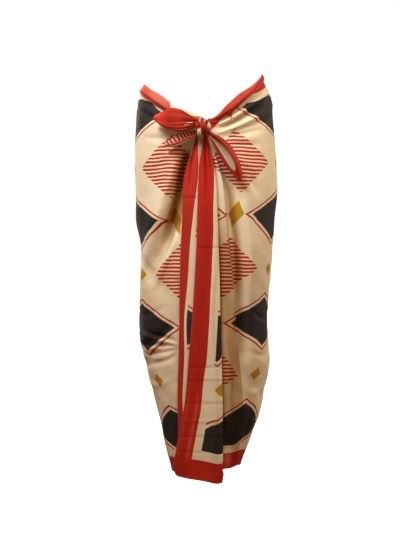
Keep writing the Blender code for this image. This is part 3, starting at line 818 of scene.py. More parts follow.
def turn_points(centre, from_course, to_course, side):
    """Points of one soft fold: a round turn about a centre between two courses."""
    courses = np.linspace(from_course, to_course, TURN_STEPS + 1)
    reach = courses + side * math.pi / 2
    return [(centre[0] + TURN * math.cos(a), centre[1] + TURN * math.sin(a)) for a in reach]


def course_between(centre, following, side):
    """Course of the straight stretch from one turn to the next, which bends the other way."""
    away = math.atan2(following[1] - centre[1], following[0] - centre[0])
    distance = math.hypot(following[0] - centre[0], following[1] - centre[1])
    return away - side * math.asin(min(1.0, 2 * TURN / distance))


def folded_path(centres, counts):
    """A section through pleats, from a start towards -around to an end towards -around, with
    that many points on each flat stretch."""
    points = []
    course = math.pi
    side = 1
    for index, centre in enumerate(centres):
        if index + 1 < len(centres):
            following = course_between(centre, centres[index + 1], side)
        else:
            following = math.pi
        arc = turn_points(centre, course, following, side)
        if points:
            start = np.array(points[-1])
            count = counts[index - 1]
            for step in range(1, count + 1):
                points.append(tuple(start + (np.array(arc[0]) - start) * step / (count + 1)))
        points += arc
        course = following
        side = -side
    return points


def front_drop(distance):
    """The front pleat settles towards the layers below it, away from its pleat edge."""
    return 2.4 * TURN * ramp(distance, 0.022, 0.052)


# Points on each flat stretch between the turns of the pleats, and how high above the form, in
# steps, the pleats still follow the folds of the panel
STRETCH_POINTS = (3, 16, 6)
UNDER_PLEAT_TOP = 4.01

# The corner beside the front pleat's hem, where one layer hangs alone and is painted lighter, as if
# lit from behind: its middle and its reach
SHEER_CORNER = {"around": (0.058, 0.014), "height": (-0.845, 0.030)}


def pleat_section(height):
    """Section of the two pleats at a height: length along the form, outward height, and how
    much the cloth there follows the large folds of the panel beside it."""
    centres = [
        (line_at("middle_turn", height) + TURN, TURN),
        (line_at("middle_edge", height) - TURN, 3 * TURN),
        (line_at("inner_turn", height) + TURN, 5 * TURN),
        (line_at("front_edge", height) - TURN, 7 * TURN)]
    opened = ramp(height, -0.42, -0.54)
    points = []
    for around, out in folded_path(centres, STRETCH_POINTS):
        follow = opened * (out <= UNDER_PLEAT_TOP * TURN)
        points.append((around, out, max(follow, 1 - out / TURN)))
    start = points[-1][0]
    width = start - line_at("free_edge", height)
    for step in range(1, FREE_COLUMNS + 1):
        distance = width * step / FREE_COLUMNS
        points.append((start - distance, 8 * TURN - front_drop(distance), 0.0))
    return points


def cascade_section(height):
    """Section of the left free edge: a turn to the outside, then back over the left panel."""
    turn = line_at("cascade_turn", height)
    points = turn_points((TURN - turn, TURN), math.pi, 0.0, 1)
    points = [(-around, out, max(0.0, 1 - out / TURN)) for around, out in points]
    start = points[-1][0]
    width = start - line_at("cascade", height)
    for step in range(1, FREE_COLUMNS + 1):
        share = step / FREE_COLUMNS
        points.append((start - width * share, 2 * TURN + 0.001 * ease(share), 0.0))
    return points


def pleat_hems(columns):
    """Hem height of each column of the pleats: hidden part, turn and front pleat."""
    free = np.linspace(1, 0, FREE_COLUMNS + 1)
    hems = smooth(free, PLEAT_HEM["share"], PLEAT_HEM["height"])
    turn = np.linspace(0, 1, TURN_STEPS + 1)[:-1]
    front_turn = HIDDEN_HEM + (hems[0] - HIDDEN_HEM) * ease(turn)
    hidden = np.arange(columns - len(hems) - len(front_turn))
    hidden = UNDER_HEM - (UNDER_HEM - BESIDE_HEM) * ramp(hidden, TURN_STEPS, TURN_STEPS + 4)
    return np.concatenate([hidden, front_turn, hems])


def pressed(height, lines):
    """Sharp pressed lines across a hanging layer."""
    depth = np.zeros(np.shape(height))
    for level, reach, rise in zip(*lines.values()):
        depth += rise * hump(height, level, reach)
    return depth


def hanging_grid(section, hems, pressed_lines, free_edge):
    """A layer that hangs from under the knot: its grid and its place on the flat cloth."""
    sections = np.array([section(level) for level in LADDER])
    rows = np.linspace(0, 1, LAYER_ROWS)[:, None]
    height = LAYERS_TOP + (hems[None, :] - LAYERS_TOP) * rows
    place = np.empty(height.shape + (3,))
    for column in range(len(hems)):
        for value in range(3):
            place[:, column, value] = np.interp(
                height[:, column], LADDER, sections[:, column, value])
    around, out, follow = place.transpose(2, 0, 1)
    # from the under pleat, over the hidden part, to the front pleat
    hidden_from = len(hems) - FREE_COLUMNS - TURN_STEPS - HIDDEN_COLUMNS
    front = ramp(np.arange(len(hems)), hidden_from, hidden_from + HIDDEN_COLUMNS - 1)
    steps = np.hypot(np.diff(around, axis=1), np.diff(out, axis=1))
    along = np.concatenate([np.zeros((LAYER_ROWS, 1)), np.cumsum(steps, axis=1)], axis=1)
    shown = smooth(height, SHOWN_BORDER["height"], SHOWN_BORDER[free_edge])
    from_side = (along[:, -1:] - along) * BORDER / shown
    own = 1 - follow
    lines_depth = pressed(height, pressed_lines)
    depth = follow * (wound_folds(around, height) + unevenness(around, height))
    depth = depth + own * (
        fold_depth(around, height, LAYER_FOLDS) + lines_depth * ramp(out, TURN, 2 * TURN))
    out = out + depth + knot_pull(around, height)
    grid = cloth_point(around, height, out)
    # painted light in the sheer corner, and painted shade in the folds and the hollows low down
    sheer = hump(around, *SHEER_CORNER["around"]) * hump(height, *SHEER_CORNER["height"])
    deep = painted_fold_shade(depth) * fold_shade_share(around, height) + underlap_shade(around, height)
    deep = deep * follow + SHEER_CORNER_LIGHT * sheer
    # painted shade along the pressed lines and in the layer's own gathers
    deep = deep + own * (
        PRESSED_LINE_SHADE * ramp(np.abs(lines_depth), 0, 0.0012)
        + GATHERED_SHADE * ramp(depth, -0.001, -0.004))
    if free_edge == "pleat":
        # low down the ground of the layers behind shows through the border, in two lines
        through = SEE_THROUGH["wide line"] * hump(from_side, 0.030, 0.006)
        through = through + SEE_THROUGH["line at the hem"] * hump(from_side, 0.006, 0.004)
        deep = deep + own * through * ramp(height, -0.62, -0.72) * ramp(height, -0.88, -0.83)
        # painted shade on the under pleat, deepest close to the edge of the front pleat, which shades
        # it
        beyond = np.abs(around - line_at("front_edge", height))
        under = UNDER_PLEAT_SHADE["all over"]
        under = under + UNDER_PLEAT_SHADE["beside the front pleat"] * np.exp(-beyond / 0.010)
        under = under * (1 - front) * ramp(height, -0.18, -0.34)
        deep = np.minimum(deep + under, 1.0)
    # both hanging layers lie double, which shows most in their borders; below the knot this deepening
    # is partly painted shade
    double = DOUBLE_LAYER_AND_SHADE["ground"]
    double = double + DOUBLE_LAYER_AND_SHADE["border"] * ramp(from_side, BORDER, BORDER - 0.002)
    deep = deep + own * double * ramp(height, -0.12, -0.26)
    beside = back_length(around, height)
    return grid, along, height - hems[None, :], from_side, deep, beside, front


# The height at which the print of a hanging layer meets that of the panel beside it
PRINT_LEVEL = -0.3
# How much more of the border shows at the front pleat's hem
ASKEW = 0.20


def make_layers(materials):
    """The pleats of the right end of the cloth, and the cascade of its left end."""
    made = []
    for name, node, turn, section, lines, edge, outward in (
            ("front_pleat_layer", "front_pleats", "middle_turn",
             pleat_section, PRESSED_PLEAT, "pleat", True),
            ("cascade_layer", "left_cascade", "cascade_turn",
             cascade_section, PRESSED_CASCADE, "cascade", False)):
        columns = len(section(-0.5))
        hems = pleat_hems(columns) if edge == "pleat" else np.full(columns, CASCADE_HEM)
        grid, along, from_hem, from_side, deep, beside, front = hanging_grid(
            section, hems, lines, edge)
        start = back_length(line_at(turn, PRINT_LEVEL), PRINT_LEVEL)
        if edge == "pleat":
            # the under pleat lies as the panel beside it does, so that the print runs on
            lengths = beside + (start - along - beside) * front
            # on the front pleat the cloth is pulled askew, and more of the border shows
            from_edge = np.minimum(from_side, from_hem * (1 - ASKEW * front))
        else:
            lengths = start + along
            from_edge = np.minimum(from_side, from_hem)
        parts = (grid, lengths, from_hem, from_edge, deep)
        made.append(dress(node, name, name, parts, outward, ("side", "lower"), materials))
    return made


# Knotted ends: both edges of each leaf, the depth at which it stands and how far it opens
LEAF_NAMES = "top_x top_z bottom_x bottom_z depth opening"
LEAVES = {
    "tail_upper_left": table(LEAF_NAMES, [
        (-12, 5, -12, -10, -147, 3.6),
        (-26, 11, -27, -13, -147, 4.4),
        (-41, 19, -42, -19, -146, 6),
        (-58, 30, -60, -22, -143, 7.2),
        (-75, 36, -80, -20, -138, 7.8),
        (-91, 37, -98, -15, -133, 7.2),
        (-108, 30, -114, -6, -127, 5.6),
        (-122, 24, -126, 5, -121, 4.2),
        (-131, 20, -133, 11, -116, 3.6),
    ]),
    "tail_lower_left": table(LEAF_NAMES, [
        (-14, -15, -14, -30, -147, 3.6),
        (-28, -21, -26, -35, -144, 3.8),
        (-42, -21, -40, -42, -139, 4.4),
        (-56, -23, -53, -48, -136, 4.8),
        (-70, -28, -68, -55, -133, 4.8),
        (-84, -36, -82, -58, -130, 4.4),
        (-96, -42, -94, -58, -127, 4),
        (-104, -47, -103, -57, -124, 3.6),
    ]),
    "tail_lower_right": table(LEAF_NAMES, [
        (6, -18, -3, -30, -150, 3.4),
        (16, -28, 5, -38, -152, 4),
        (32, -35, 14, -51, -150, 5.6),
        (49, -46, 24, -69, -147, 6.6),
        (64, -63, 35, -88, -144, 7),
        (77, -86, 47, -106, -141, 6.6),
        (86, -109, 60, -121, -138, 5.6),
        (90, -128, 72, -135, -135, 4.4),
        (87, -142, 81, -145, -132, 3.2),
    ]),
}

# Sections of the leaves: the share of the width up from the lower edge, the share of the
# opening towards the front, and the distance of the cloth there from its cut edge. Under
# 41 mm it is border, and under 60 mm it is bare ground.
SECTIONS = {
    "tail_upper_left": table("share forward from_edge", [
        (0.03, 1.20, 0), (0.12, 1.55, 4), (0.26, 1.50, 9), (0.37, 1.05, 13),
        (0.47, 1.25, 17), (0.70, 1.25, 23), (0.89, 0.90, 28), (1.00, 0.00, 32),
        (0.86, -0.80, 36), (0.55, -0.60, 36), (0.22, -0.20, 30), (0.00, 0.30, 24),
    ]),
    "tail_lower_left": table("share forward from_edge", [
        (0.32, 1.25, 34), (0.20, 1.30, 34), (0.08, 0.90, 46), (0.00, 0.00, 52),
        (0.14, -0.85, 64), (0.36, -0.70, 90), (0.60, -0.35, 90), (0.82, -0.20, 90),
        (1.00, 0.00, 90),
    ]),
    "tail_lower_right": table("share forward from_edge", [
        (0.20, 1.20, 0), (0.08, 1.00, 20), (0.00, 0.10, 30), (0.14, -0.50, 50),
        (0.42, -0.60, 56), (0.64, -0.55, 50), (0.94, -0.50, 30), (1.00, 0.50, 22),
        (0.84, 1.20, 10), (0.66, 1.35, 0),
    ]),
}

# Where the root of each leaf lies on the printed cloth, as length and height, and how much of
# the cloth lies across a leaf
LEAF_PRINT = {
    "tail_upper_left": (0.33, 0.495),
    "tail_lower_left": (0.1225, 0.185),
    "tail_lower_right": (0.16, 0.47),
}
LEAF_WIDTH = 0.060
SMALL_LEAF_WIDTH = 0.030
SMALL_LEAF_SLANT = 0.012

# Painted shade in the creases of each leaf, in its gathers at the knot and at its root
CREASE_SHADE = {
    "tail_upper_left": 0.7,
    "tail_lower_left": 0.2,
    "tail_lower_right": 0.7,
}
ROOT_SHADE = 0.8
LEAF_GATHER_SHADE = 0.45
# Painted shade and painted light on the upper left leaf, and painted shade inside the lower right one
UPPER_LEFT_SHADE_AND_LIGHT = {"all over": 0.40, "lip": 0.30, "mottled_shade": 0.26, "point": -0.45}
INSIDE_SHADE = {"all over": 0.08, "towards the point": 0.30}

# Creases along a leaf, and the finer ones inside the lower right one: how soon they end, how
# many lie across it, and their height
LEAF_CREASES = (0.7, 13, 0.0017)
INSIDE_CREASES = (0.6, 30, 0.0020)

# The lower lip of the upper left leaf: its share of the section, and how high the valley above
# it lies in the width, along the leaf
LIP = 0.37
VALLEY = table("along share", [
    (0.00, 0.45),
    (0.24, 0.40),
    (0.50, 0.25),
    (0.80, 0.16),
    (1.00, 0.14),
])


def leaf_creases(along, across, soon, count, rise):
    """Creases that run out from the knot along a leaf and die away before its point."""
    along = along * soon
    waves = np.sin(across * np.pi * count + 2.0 * np.sin(along * 3.1) + 0.7 * along)
    return rise * waves * ramp(along, 0.75, 0) * ramp(along, -0.016, 0.024)


def leaf_grid(name):
    """A leaf of folded cloth between its two edges, from the knot to the corner of the cloth."""
    rows = np.linspace(0, 1, TAIL_ROWS)
    across, along = np.meshgrid(np.linspace(0, 1, TAIL_COLUMNS), rows)
    edges = {key: curve[:, None] for key, curve in evenly(LEAVES[name], TAIL_ROWS).items()}
    share, forward, from_side = evenly(SECTIONS[name], TAIL_COLUMNS).values()
    creases = leaf_creases(along, across, *LEAF_CREASES)
    # painted shade: the gathers at the knot run out into the leaf as thin dark lines, and the root is
    # dark where it goes into the knot
    gathers = ramp(np.sin(across * np.pi * 21 + 1.5 * np.sin(along * 5)), 2 / 7, 1)
    more = LEAF_GATHER_SHADE * gathers * ramp(along, 0.50, 0) + ROOT_SHADE * ramp(along, 0.12, 0)
    if name == "tail_upper_left":
        # the lower lip narrows towards the point, and the valley above it bends down
        valley_at = smooth(rows, VALLEY["along"], VALLEY["share"])[:, None]
        bent = np.where(
            share < LIP,
            share * valley_at / LIP,
            valley_at + (share - LIP) * (1 - valley_at) / (1 - LIP))
        share = np.where((forward > 0.5) & (across < 0.6), bent, share)
        # its border lies double, so it is deep all over; the lip and the mottling carry painted
        # shade, and painted light makes it paler towards its point
        lip = ramp(share - valley_at, 0.048, -0.032) * (forward > 0.5)
        mottled_shade = np.sin(along * 11 + across * 9) * np.sin(along * 5 - across * 13 + 1)
        more = more + UPPER_LEFT_SHADE_AND_LIGHT["all over"] + UPPER_LEFT_SHADE_AND_LIGHT["mottled_shade"] * mottled_shade
        more = more + UPPER_LEFT_SHADE_AND_LIGHT["lip"] * lip * ramp(along, 0, 0.1)
        more = more + UPPER_LEFT_SHADE_AND_LIGHT["point"] * (1 - lip) * ramp(along, 0.55, 0.80)
    if name == "tail_lower_right":
        # its opened inside is full of fine gathers, and carries painted shade, most towards the point
        inside = hump(across, 0.46, 0.13, 4)
        creases = creases * (1 - inside) + inside * leaf_creases(along, across, *INSIDE_CREASES)
        more = more + inside * (
            INSIDE_SHADE["all over"] + INSIDE_SHADE["towards the point"] * ramp(along, 0.55, 0.85))
    deep = CREASE_SHADE[name] * ramp(creases, 0, -0.0014) + more
    x = edges["bottom_x"] + (edges["top_x"] - edges["bottom_x"]) * share
    z = edges["bottom_z"] + (edges["top_z"] - edges["bottom_z"]) * share
    y = edges["depth"] - edges["opening"] * forward - creases
    grid = np.stack([x, y, z], axis=-1)
    steps = np.linalg.norm(np.diff(grid, axis=0), axis=-1).mean(axis=1)
    length = np.concatenate([[0], np.cumsum(steps)])[:, None]
    from_point = length[-1] - length
    # the print runs along the two large leaves, and across the small one
    root, level = LEAF_PRINT[name]
    lengths = root + length
    heights = level + share * LEAF_WIDTH
    if name == "tail_upper_left":
        # a slit of bare ground shows where the border is folded back
        slant = share - 0.39 + 1.2 * (along - 0.27)
        slit = hump(along, 0.27, 0.085, 4) * hump(slant, 0, 0.075)
        from_edge = np.minimum(from_side + BARE * slit * (forward > 0.5), BARE)
    elif name == "tail_lower_right":
        from_edge = from_side - 0.018 * ramp(from_point, 0.085, 0.010)
    else:
        from_edge = np.minimum(from_side, from_point + 0.054)
        lengths = root + share * SMALL_LEAF_WIDTH
        heights = level + length - share * SMALL_LEAF_SLANT
    return grid, lengths, heights, from_edge, deep


def make_leaves(materials):
    """The three ends that stand out of the knot."""
    return [
        dress(name, name + "_leaf", name, leaf_grid(name), False, ("first", "second"), materials)
        for name in LEAVES]


# The knot: a core and the gathered bands round it, each bent over a middle place, all
# relative to the knot. `from_edge` says which part of the cloth shows: under 41 mm is border.
BAND_NAMES = "x y z by_x by_y by_z to_x to_y to_z width thickness from_edge"
BANDS = table(BAND_NAMES, [
    (0, 0, 17, 0, 0, 0, 1, 0, -18, 14, 12.5, 20),
    (-12, -1, 12, -2, -16, 14, 12, -1, 6, 8, 7, 80),
    (-15, -1, 14, -16, -12, 2, -13, -1, -9, 5.5, 7.5, 10),
    (-10, -1, 11, -1, -21, 1, 6, -2, -21, 7.6, 6, 20),
    (-11, -2, -3, -11, -14, -12, -8, -2, -23, 6, 6.5, 52),
    (7, -1, 10, 13, -12, 2, 11, -1, -9, 5.2, 6.5, 52),
])
BAND_RINGS = 48
BAND_SIDES = 64

# Where the bands lie on the printed cloth; the one over the top shows its stripes
BAND_LENGTH = 0.1275
BAND_HEIGHT = 0.325
TOP_BAND_HEIGHT = 0.240


def band_grid(row, index):
    """Rings of a gathered band along its line, oval across, with creases along it."""
    line = bent_line(row, "xyz", BAND_RINGS) + np.array(KNOT_AT)
    course = unit(np.gradient(line, axis=0))
    across = unit(np.cross(course, np.array([0.0, -1.0, 0.0])))
    up = np.cross(across, course)
    share = np.linspace(-1, 1, BAND_RINGS)[:, None]
    full = np.sqrt(np.clip(1 - (share * 0.96) ** 4, 0, 1))
    turn = np.linspace(0, 2 * np.pi, BAND_SIDES + 1)[None, :]
    crease = 0.5 + 0.5 * np.sin(5 * turn + 1.1 * index + 1.4 * share)
    crease = 1 - 0.10 * (1 - crease) ** 3 - 0.035 * (1 + np.sin(9 * turn + 2.3 * index - share))
    wide = row["width"] * full * crease * np.cos(turn)
    thick = row["thickness"] * full * crease * np.sin(turn)
    grid = line[:, None] + across[:, None] * wide[..., None] + up[:, None] * thick[..., None]
    return grid, turn, share, crease


def make_knot(voile):
    """The double knot."""
    made = []
    for index, row in enumerate(rows_of(BANDS)):
        grid, turn, share, crease = band_grid(row, index)
        from_edge = row["from_edge"] + 0.006 * np.sin(turn + index)
        lengths = BAND_LENGTH + 0.004 * turn
        heights = (TOP_BAND_HEIGHT if index == 1 else BAND_HEIGHT) + share * 0.020
        name = "knot_core" if index == 0 else "knot_band_" + str(index)
        # gathered cloth is deep in colour all over, and its creases carry painted shade
        deep = 0.3 + 0.5 * (1 - crease / crease.max()) / 0.14
        piece = cloth_sheet(name, grid, lengths, heights, from_edge, deep, True, voile)
        made.append(piece)
    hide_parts("knot")
    return made


# Materials


def linear(colour):
    """An sRGB hex colour as linear light."""
    parts = [int(colour[place:place + 2], 16) / 255 for place in (1, 3, 5)]
    light = [part / 12.92 if part <= 0.04045 else ((part + 0.055) / 1.055) ** 2.4 for part in parts]
    return (*light, 1.0)


# The nodes in use: kind, settings, inputs in order, and the output that is used
FLAT_NOISE = {"noise_dimensions": "2D"}
NOISE_INPUTS = ("Vector", "Scale", "Detail", "Roughness")
BUMP_INPUTS = ("Strength", "Distance", "Height")
NODES = {
    "cloth map": ("ShaderNodeUVMap", {"uv_map": "cloth"}, (), 0),
    "hem map": ("ShaderNodeUVMap", {"uv_map": "hem"}, (), 0),
    "from edge": ("ShaderNodeAttribute", {"attribute_name": "from_edge"}, (), "Fac"),
    "deep": ("ShaderNodeAttribute", {"attribute_name": "deep"}, (), "Fac"),
    "length of": ("ShaderNodeSeparateXYZ", {}, (0,), 0),
    "height of": ("ShaderNodeSeparateXYZ", {}, (0,), 1),
    "noise": ("ShaderNodeTexNoise", FLAT_NOISE, NOISE_INPUTS, "Fac"),
    "noise both ways": ("ShaderNodeTexNoise", FLAT_NOISE, NOISE_INPUTS, "Color"),
    "stretch": ("ShaderNodeVectorMath", {"operation": "MULTIPLY"}, (0, 1), 0),
    "shift": ("ShaderNodeVectorMath", {"operation": "MULTIPLY_ADD"}, (0, 1, 2), 0),
    "grey": ("ShaderNodeCombineColor", {}, (0, 1, 2), 0),
    "lay over": ("ShaderNodeMix", {"data_type": "RGBA"}, (0, 6, 7), 2),
    "tint": ("ShaderNodeMix", {"data_type": "RGBA", "blend_type": "MULTIPLY"}, (0, 6, 7), 2),
    "raised": ("ShaderNodeBump", {}, BUMP_INPUTS, 0),
    "dented": ("ShaderNodeBump", {"invert": True}, BUMP_INPUTS, 0),
}
for operation in (
        "ADD", "SUBTRACT", "MULTIPLY", "DIVIDE", "MULTIPLY_ADD", "FRACT", "ABSOLUTE", "MAXIMUM",
        "GREATER_THAN", "LESS_THAN"):
    NODES[operation] = ("ShaderNodeMath", {"operation": operation}, (0, 1, 2), 0)


def add_node(tree, name, *values):
    """Adds a node of the list, each input given a value or another node's output."""
    kind, settings, inputs, output = NODES[name]
    node = tree.nodes.new(kind)
    for setting, value in settings.items():
        setattr(node, setting, value)
    for place, value in zip(inputs, values):
        if isinstance(value, bpy.types.NodeSocket):
            tree.links.new(value, node.inputs[place])
        else:
            node.inputs[place].default_value = value
    return node.outputs[output]


def start_material(name, finish):
    """A new material, with what is the same all over its surface set on its shader."""
    material = bpy.data.materials.new(name)
    material.use_nodes = True
    shader = material.node_tree.nodes["Principled BSDF"]
    for socket, value in finish.items():
        shader.inputs[socket].default_value = value
    return material, shader


# Finish of the voile, of its stitched hem, and of the paint of the studio's walls
VOILE_FINISH = {
    "Roughness": 0.72,
    "IOR": 1.53,
    "Specular IOR Level": 0.18,
    "Sheen Weight": 0.03,
    "Sheen Roughness": 0.45,
}
HEM_FINISH = {
    "Roughness": 0.80,
    "IOR": 1.53,
    "Specular IOR Level": 0.25,
    "Sheen Weight": 0.15,
}
PAINT_FINISH = {
    "Base Color": (0.85, 0.85, 0.85, 1.0),
    "Roughness": 0.9,
    "Specular IOR Level": 0.1,
    "Emission Color": (1.0, 1.0, 1.0, 1.0),
    "Emission Strength": 0.9,
}

# Colours of the print
GROUND = "#e8d6b8"
BORDER_RED = "#bd2410"
CHARCOAL = "#2c2524"
LINE_RED = "#b9260f"
MUSTARD = "#b98a10"

# The print's tint on the reverse, the tint of painted shade, and of painted light where cloth has
# light behind
REVERSE_TINT = "#ecc9a4"
SHADE_TINT = "#b0854a"
LIT_TINT = "#ffd9b4"

# The hem and its stitch dents
HEM_RED = "#b62813"
STITCH_RED = "#9e2210"

# A generic lozenge print: the repeat, where its first row lies above the hem, and each
# lozenge's half width and half height, in metres
REPEAT_WIDTH = 0.275
REPEAT_HEIGHT = 0.270
FIRST_ROW = 0.105
DARK_LOZENGE = (0.098, 0.062)
STRIPED_LOZENGE = (0.084, 0.080)
MUSTARD_LOZENGE = (0.019, 0.034)
SMALL_LOZENGE = (0.017, 0.017)
STRIPE_PITCH = 0.0092
STRIPE_SHARE = 0.56
STITCH_PITCH = 0.005


# Limits of a filled lozenge and of an outline round it, as shares of its size
FILLED = (-1.0, 1.0)
OUTLINE = (1.12, 1.20)


def repeat_distance(add, value, pitch, start):
    """Distances from the nearest line of a repeat, and from the line half-way between two."""
    part = add("FRACT", add("MULTIPLY_ADD", value, 1 / pitch, start))
    between = add("MULTIPLY", add("ABSOLUTE", add("SUBTRACT", part, 0.5)), pitch)
    return add("SUBTRACT", pitch / 2, between), between


def lozenge(add, x, y, size, limits):
    """Inside a lozenge, or between two round the same middle."""
    ring = add("ADD", add("DIVIDE", x, size[0]), add("DIVIDE", y, size[1]))
    return add("MULTIPLY", add("GREATER_THAN", ring, limits[0]), add("LESS_THAN", ring, limits[1]))


def printed_pattern(add, length, height, from_edge):
    """The lozenge print, as a colour over the flat cloth, with bare ground beside the border."""
    x_line, x_between = repeat_distance(add, length, REPEAT_WIDTH, 0.5)
    y_line, y_between = repeat_distance(add, height, REPEAT_HEIGHT, -FIRST_ROW / REPEAT_HEIGHT)
    striped = lozenge(add, x_line, y_between, STRIPED_LOZENGE, FILLED)
    stripe = add("LESS_THAN", add("FRACT", add("DIVIDE", height, STRIPE_PITCH)), STRIPE_SHARE)
    ground = linear(GROUND)
    colour = ground
    for share, ink in (
            (add("MULTIPLY", striped, stripe), LINE_RED),
            (lozenge(add, x_between, y_line, DARK_LOZENGE, OUTLINE), LINE_RED),
            (lozenge(add, x_line, y_line, MUSTARD_LOZENGE, FILLED), MUSTARD),
            (lozenge(add, x_between, y_between, SMALL_LOZENGE, FILLED), MUSTARD),
            (lozenge(add, x_between, y_line, DARK_LOZENGE, FILLED), CHARCOAL)):
        colour = add("lay over", share, colour, linear(ink))
    return add("lay over", add("GREATER_THAN", from_edge, BARE + 0.0005), ground, colour)


def voile_material(name, show_through):
    """Cotton voile: a loose plain weave of fine slubby yarn, pigment-printed on one side.

    It gives a dry, matt face with a soft sheen at grazing angles, uneven threads that catch
    the light, and a paler reverse where the print only shows through.
    """
    material, shader = start_material(name, VOILE_FINISH)
    add = partial(add_node, material.node_tree)
    flat = add("cloth map")
    # hand-cut print blocks leave edges that wander by about 1.5 mm, in waves 45 mm long
    wander = add("noise both ways", flat, 22.0, 2.0)
    place = add("shift", wander, (0.006, 0.006, 0.0), flat)
    from_edge = add("from edge")
    colour = printed_pattern(add, add("length of", place), add("height of", place), from_edge)
    colour = add("lay over", add("LESS_THAN", from_edge, BORDER), colour, linear(BORDER_RED))
    colour = add("lay over", show_through, colour, linear(REVERSE_TINT))
    # painted shade deepens the colour in folds, hollows and creases and where the cloth lies double,
    # and painted light pales it where one layer of it has light behind
    deep = add("deep")
    painted_shade_colour = add("tint", 1.0, colour, linear(SHADE_TINT))
    colour = add("lay over", add("MAXIMUM", deep, 0.0), colour, painted_shade_colour)
    lit = add("MAXIMUM", add("MULTIPLY", deep, -0.22), 0.0)
    colour = add("lay over", lit, colour, linear(LIT_TINT))
    # slubs: thick places in the yarn, really 0.3 mm wide and 20 to 60 mm long, drawn 2 mm
    # wide so that they show, and plainer in the weft, which lies level
    weave = 0.0
    for stretch, strength in (((520.0, 16.0, 1.0), 0.35), ((18.0, 440.0, 1.0), 1.0)):
        threads = add("noise", add("stretch", flat, stretch), 1.0, 2.0, 0.6)
        weave = add("MULTIPLY_ADD", threads, strength, weave)
    # pigment lies thinner in some places, in patches about 30 mm across
    worn = add("MULTIPLY_ADD", add("noise", flat, 34.0, 3.0), 0.16, 0.92)
    shade = add("MULTIPLY", worn, add("MULTIPLY_ADD", weave, 0.22, 0.85))
    colour = add("tint", 1.0, colour, add("grey", shade, shade, shade))
    links = material.node_tree.links
    links.new(colour, shader.inputs["Base Color"])
    links.new(add("raised", 0.30, 0.0004, weave), shader.inputs["Normal"])
    return material


def hem_material():
    """The rolled hem of the border: three layers of voile, machine-stitched.

    It reads as a dense, darker red cord with small stitch dents, really 2.5 mm apart and drawn
    5 mm apart so that they show.
    """
    material, shader = start_material("rolled_hem_voile", HEM_FINISH)
    add = partial(add_node, material.node_tree)
    stitches = add("MULTIPLY", add("length of", add("hem map")), 1 / STITCH_PITCH)
    dent = add("LESS_THAN", add("FRACT", stitches), 0.35)
    colour = add("lay over", dent, linear(HEM_RED), linear(STITCH_RED))
    links = material.node_tree.links
    links.new(colour, shader.inputs["Base Color"])
    links.new(add("dented", 0.5, 0.0006, dent), shader.inputs["Normal"])
    return material


# Camera, light and studio


# The photograph's scale and height, and where the camera stands
PIXEL = 0.0026
PICTURE_HEIGHT = 533
CAMERA_AT = (-0.0156, -3.2, -0.3575)
SENSOR = 36.0


def make_camera():
    """A level camera straight in front, at the photograph's scale of 2.6 mm to the pixel."""
    camera = bpy.data.cameras.new("camera")
    camera.sensor_width = SENSOR
    camera.lens = SENSOR * -CAMERA_AT[1] / (PICTURE_HEIGHT * PIXEL)
    holder = bpy.data.objects.new("camera", camera)
    holder.location = CAMERA_AT
    holder.rotation_euler = (math.pi / 2, 0.0, 0.0)
    bpy.context.collection.objects.link(holder)
    bpy.context.scene.camera = holder


def softbox(name, place, size, power, colour):
    """A large soft light that faces the sarong."""
    light = bpy.data.lights.new(name, "AREA")
    light.shape = "SQUARE"
    light.size = size
    light.energy = power
    light.color = colour
    holder = bpy.data.objects.new(name, light)
    holder.location = place
    away = np.array(place) - np.array(LIGHTS_AIM)
    turn = math.atan2(away[0], -away[1])
    tilt = math.atan2(math.hypot(away[0], away[1]), away[2])
    holder.rotation_euler = (tilt, 0.0, turn)
    bpy.context.collection.objects.link(holder)


# The room: its floor, the sweep up into the wall, and the warm light all round
FLOOR = -1.06
FLOOR_RADIUS = 4.5
SWEEP = 1.5
ROOM_SIDES = 48
SKY = (1.0, 0.64, 0.35, 1.0)
SKY_STRENGTH = 0.22
LIGHTS_AIM = (0.0, 0.0, -0.3)
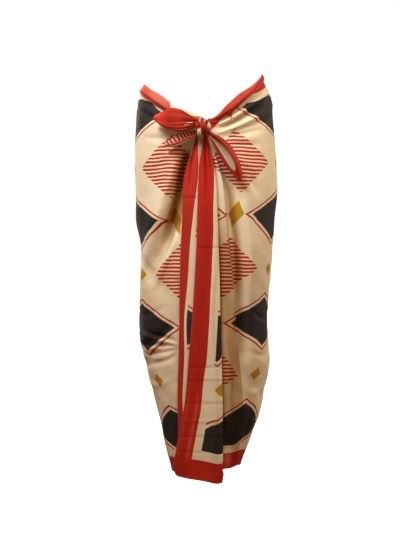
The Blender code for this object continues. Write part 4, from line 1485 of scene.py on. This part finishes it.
# name, place, size, power, colour
LIGHTS = (
    ("key_light", (-0.85, -1.25, 1.40), 0.8, 50, (1.0, 1.0, 1.0)),
    ("fill_light", (1.0, -1.4, 1.1), 1.0, 17, (1.0, 0.87, 0.68)),
    ("left_back_light", (-2.2, 2.8, 1.2), 1.6, 85, (1.0, 0.98, 0.95)),
    ("right_back_light", (2.8, 1.0, 0.9), 1.2, 46, (1.0, 0.94, 0.86)),
)


def make_studio():
    """A round white room with a floor that sweeps up into its wall, and soft lights."""
    profile = [(radius, FLOOR) for radius in (0.0, 1.5, 3.0, FLOOR_RADIUS)]
    for angle in np.linspace(0, math.pi / 2, 9)[1:]:
        profile.append((
            FLOOR_RADIUS + SWEEP * math.sin(angle),
            FLOOR + SWEEP - SWEEP * math.cos(angle)))
    profile += [(6.0, 4.0), (5.0, 6.0), (0.0, 7.0)]
    points = []
    faces = []
    for radius, z in profile:
        for side in range(ROOM_SIDES):
            turn = 2 * math.pi * side / ROOM_SIDES
            points.append((radius * math.cos(turn), radius * math.sin(turn), z))
    for row in range(len(profile) - 1):
        for side in range(ROOM_SIDES):
            here = row * ROOM_SIDES + side
            beside = row * ROOM_SIDES + (side + 1) % ROOM_SIDES
            faces.append((here, beside, beside + ROOM_SIDES, here + ROOM_SIDES))
    paint, _ = start_material("matt_white_paint", PAINT_FINISH)
    room = make_piece("white_room", points, faces, [paint])
    room.visible_diffuse = False
    room.visible_glossy = False
    room.visible_shadow = False
    world = bpy.data.worlds.new("studio")
    bpy.context.scene.world = world
    world.use_nodes = True
    sky = world.node_tree.nodes["Background"]
    sky.inputs["Color"].default_value = SKY
    sky.inputs["Strength"].default_value = SKY_STRENGTH
    for name, place, size, power, colour in LIGHTS:
        softbox(name, place, size, power, colour)
    bpy.context.scene.view_settings.view_transform = "Standard"


# Putting it together


def make_sarong():
    """Every piece, riding on the one body."""
    printed = voile_material("printed_voile", 0.0)
    reverse = voile_material("reverse_voile", 0.015)
    voile = [printed, reverse]
    materials = (voile, hem_material())
    made = make_panels(materials) + make_layers(materials) + make_leaves(materials)
    for piece, with_pieces in made:
        for each in [piece] + with_pieces:
            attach(each, "root")
    for piece in make_knot(voile):
        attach(piece, "root")


make_camera()
make_studio()
make_sarong()
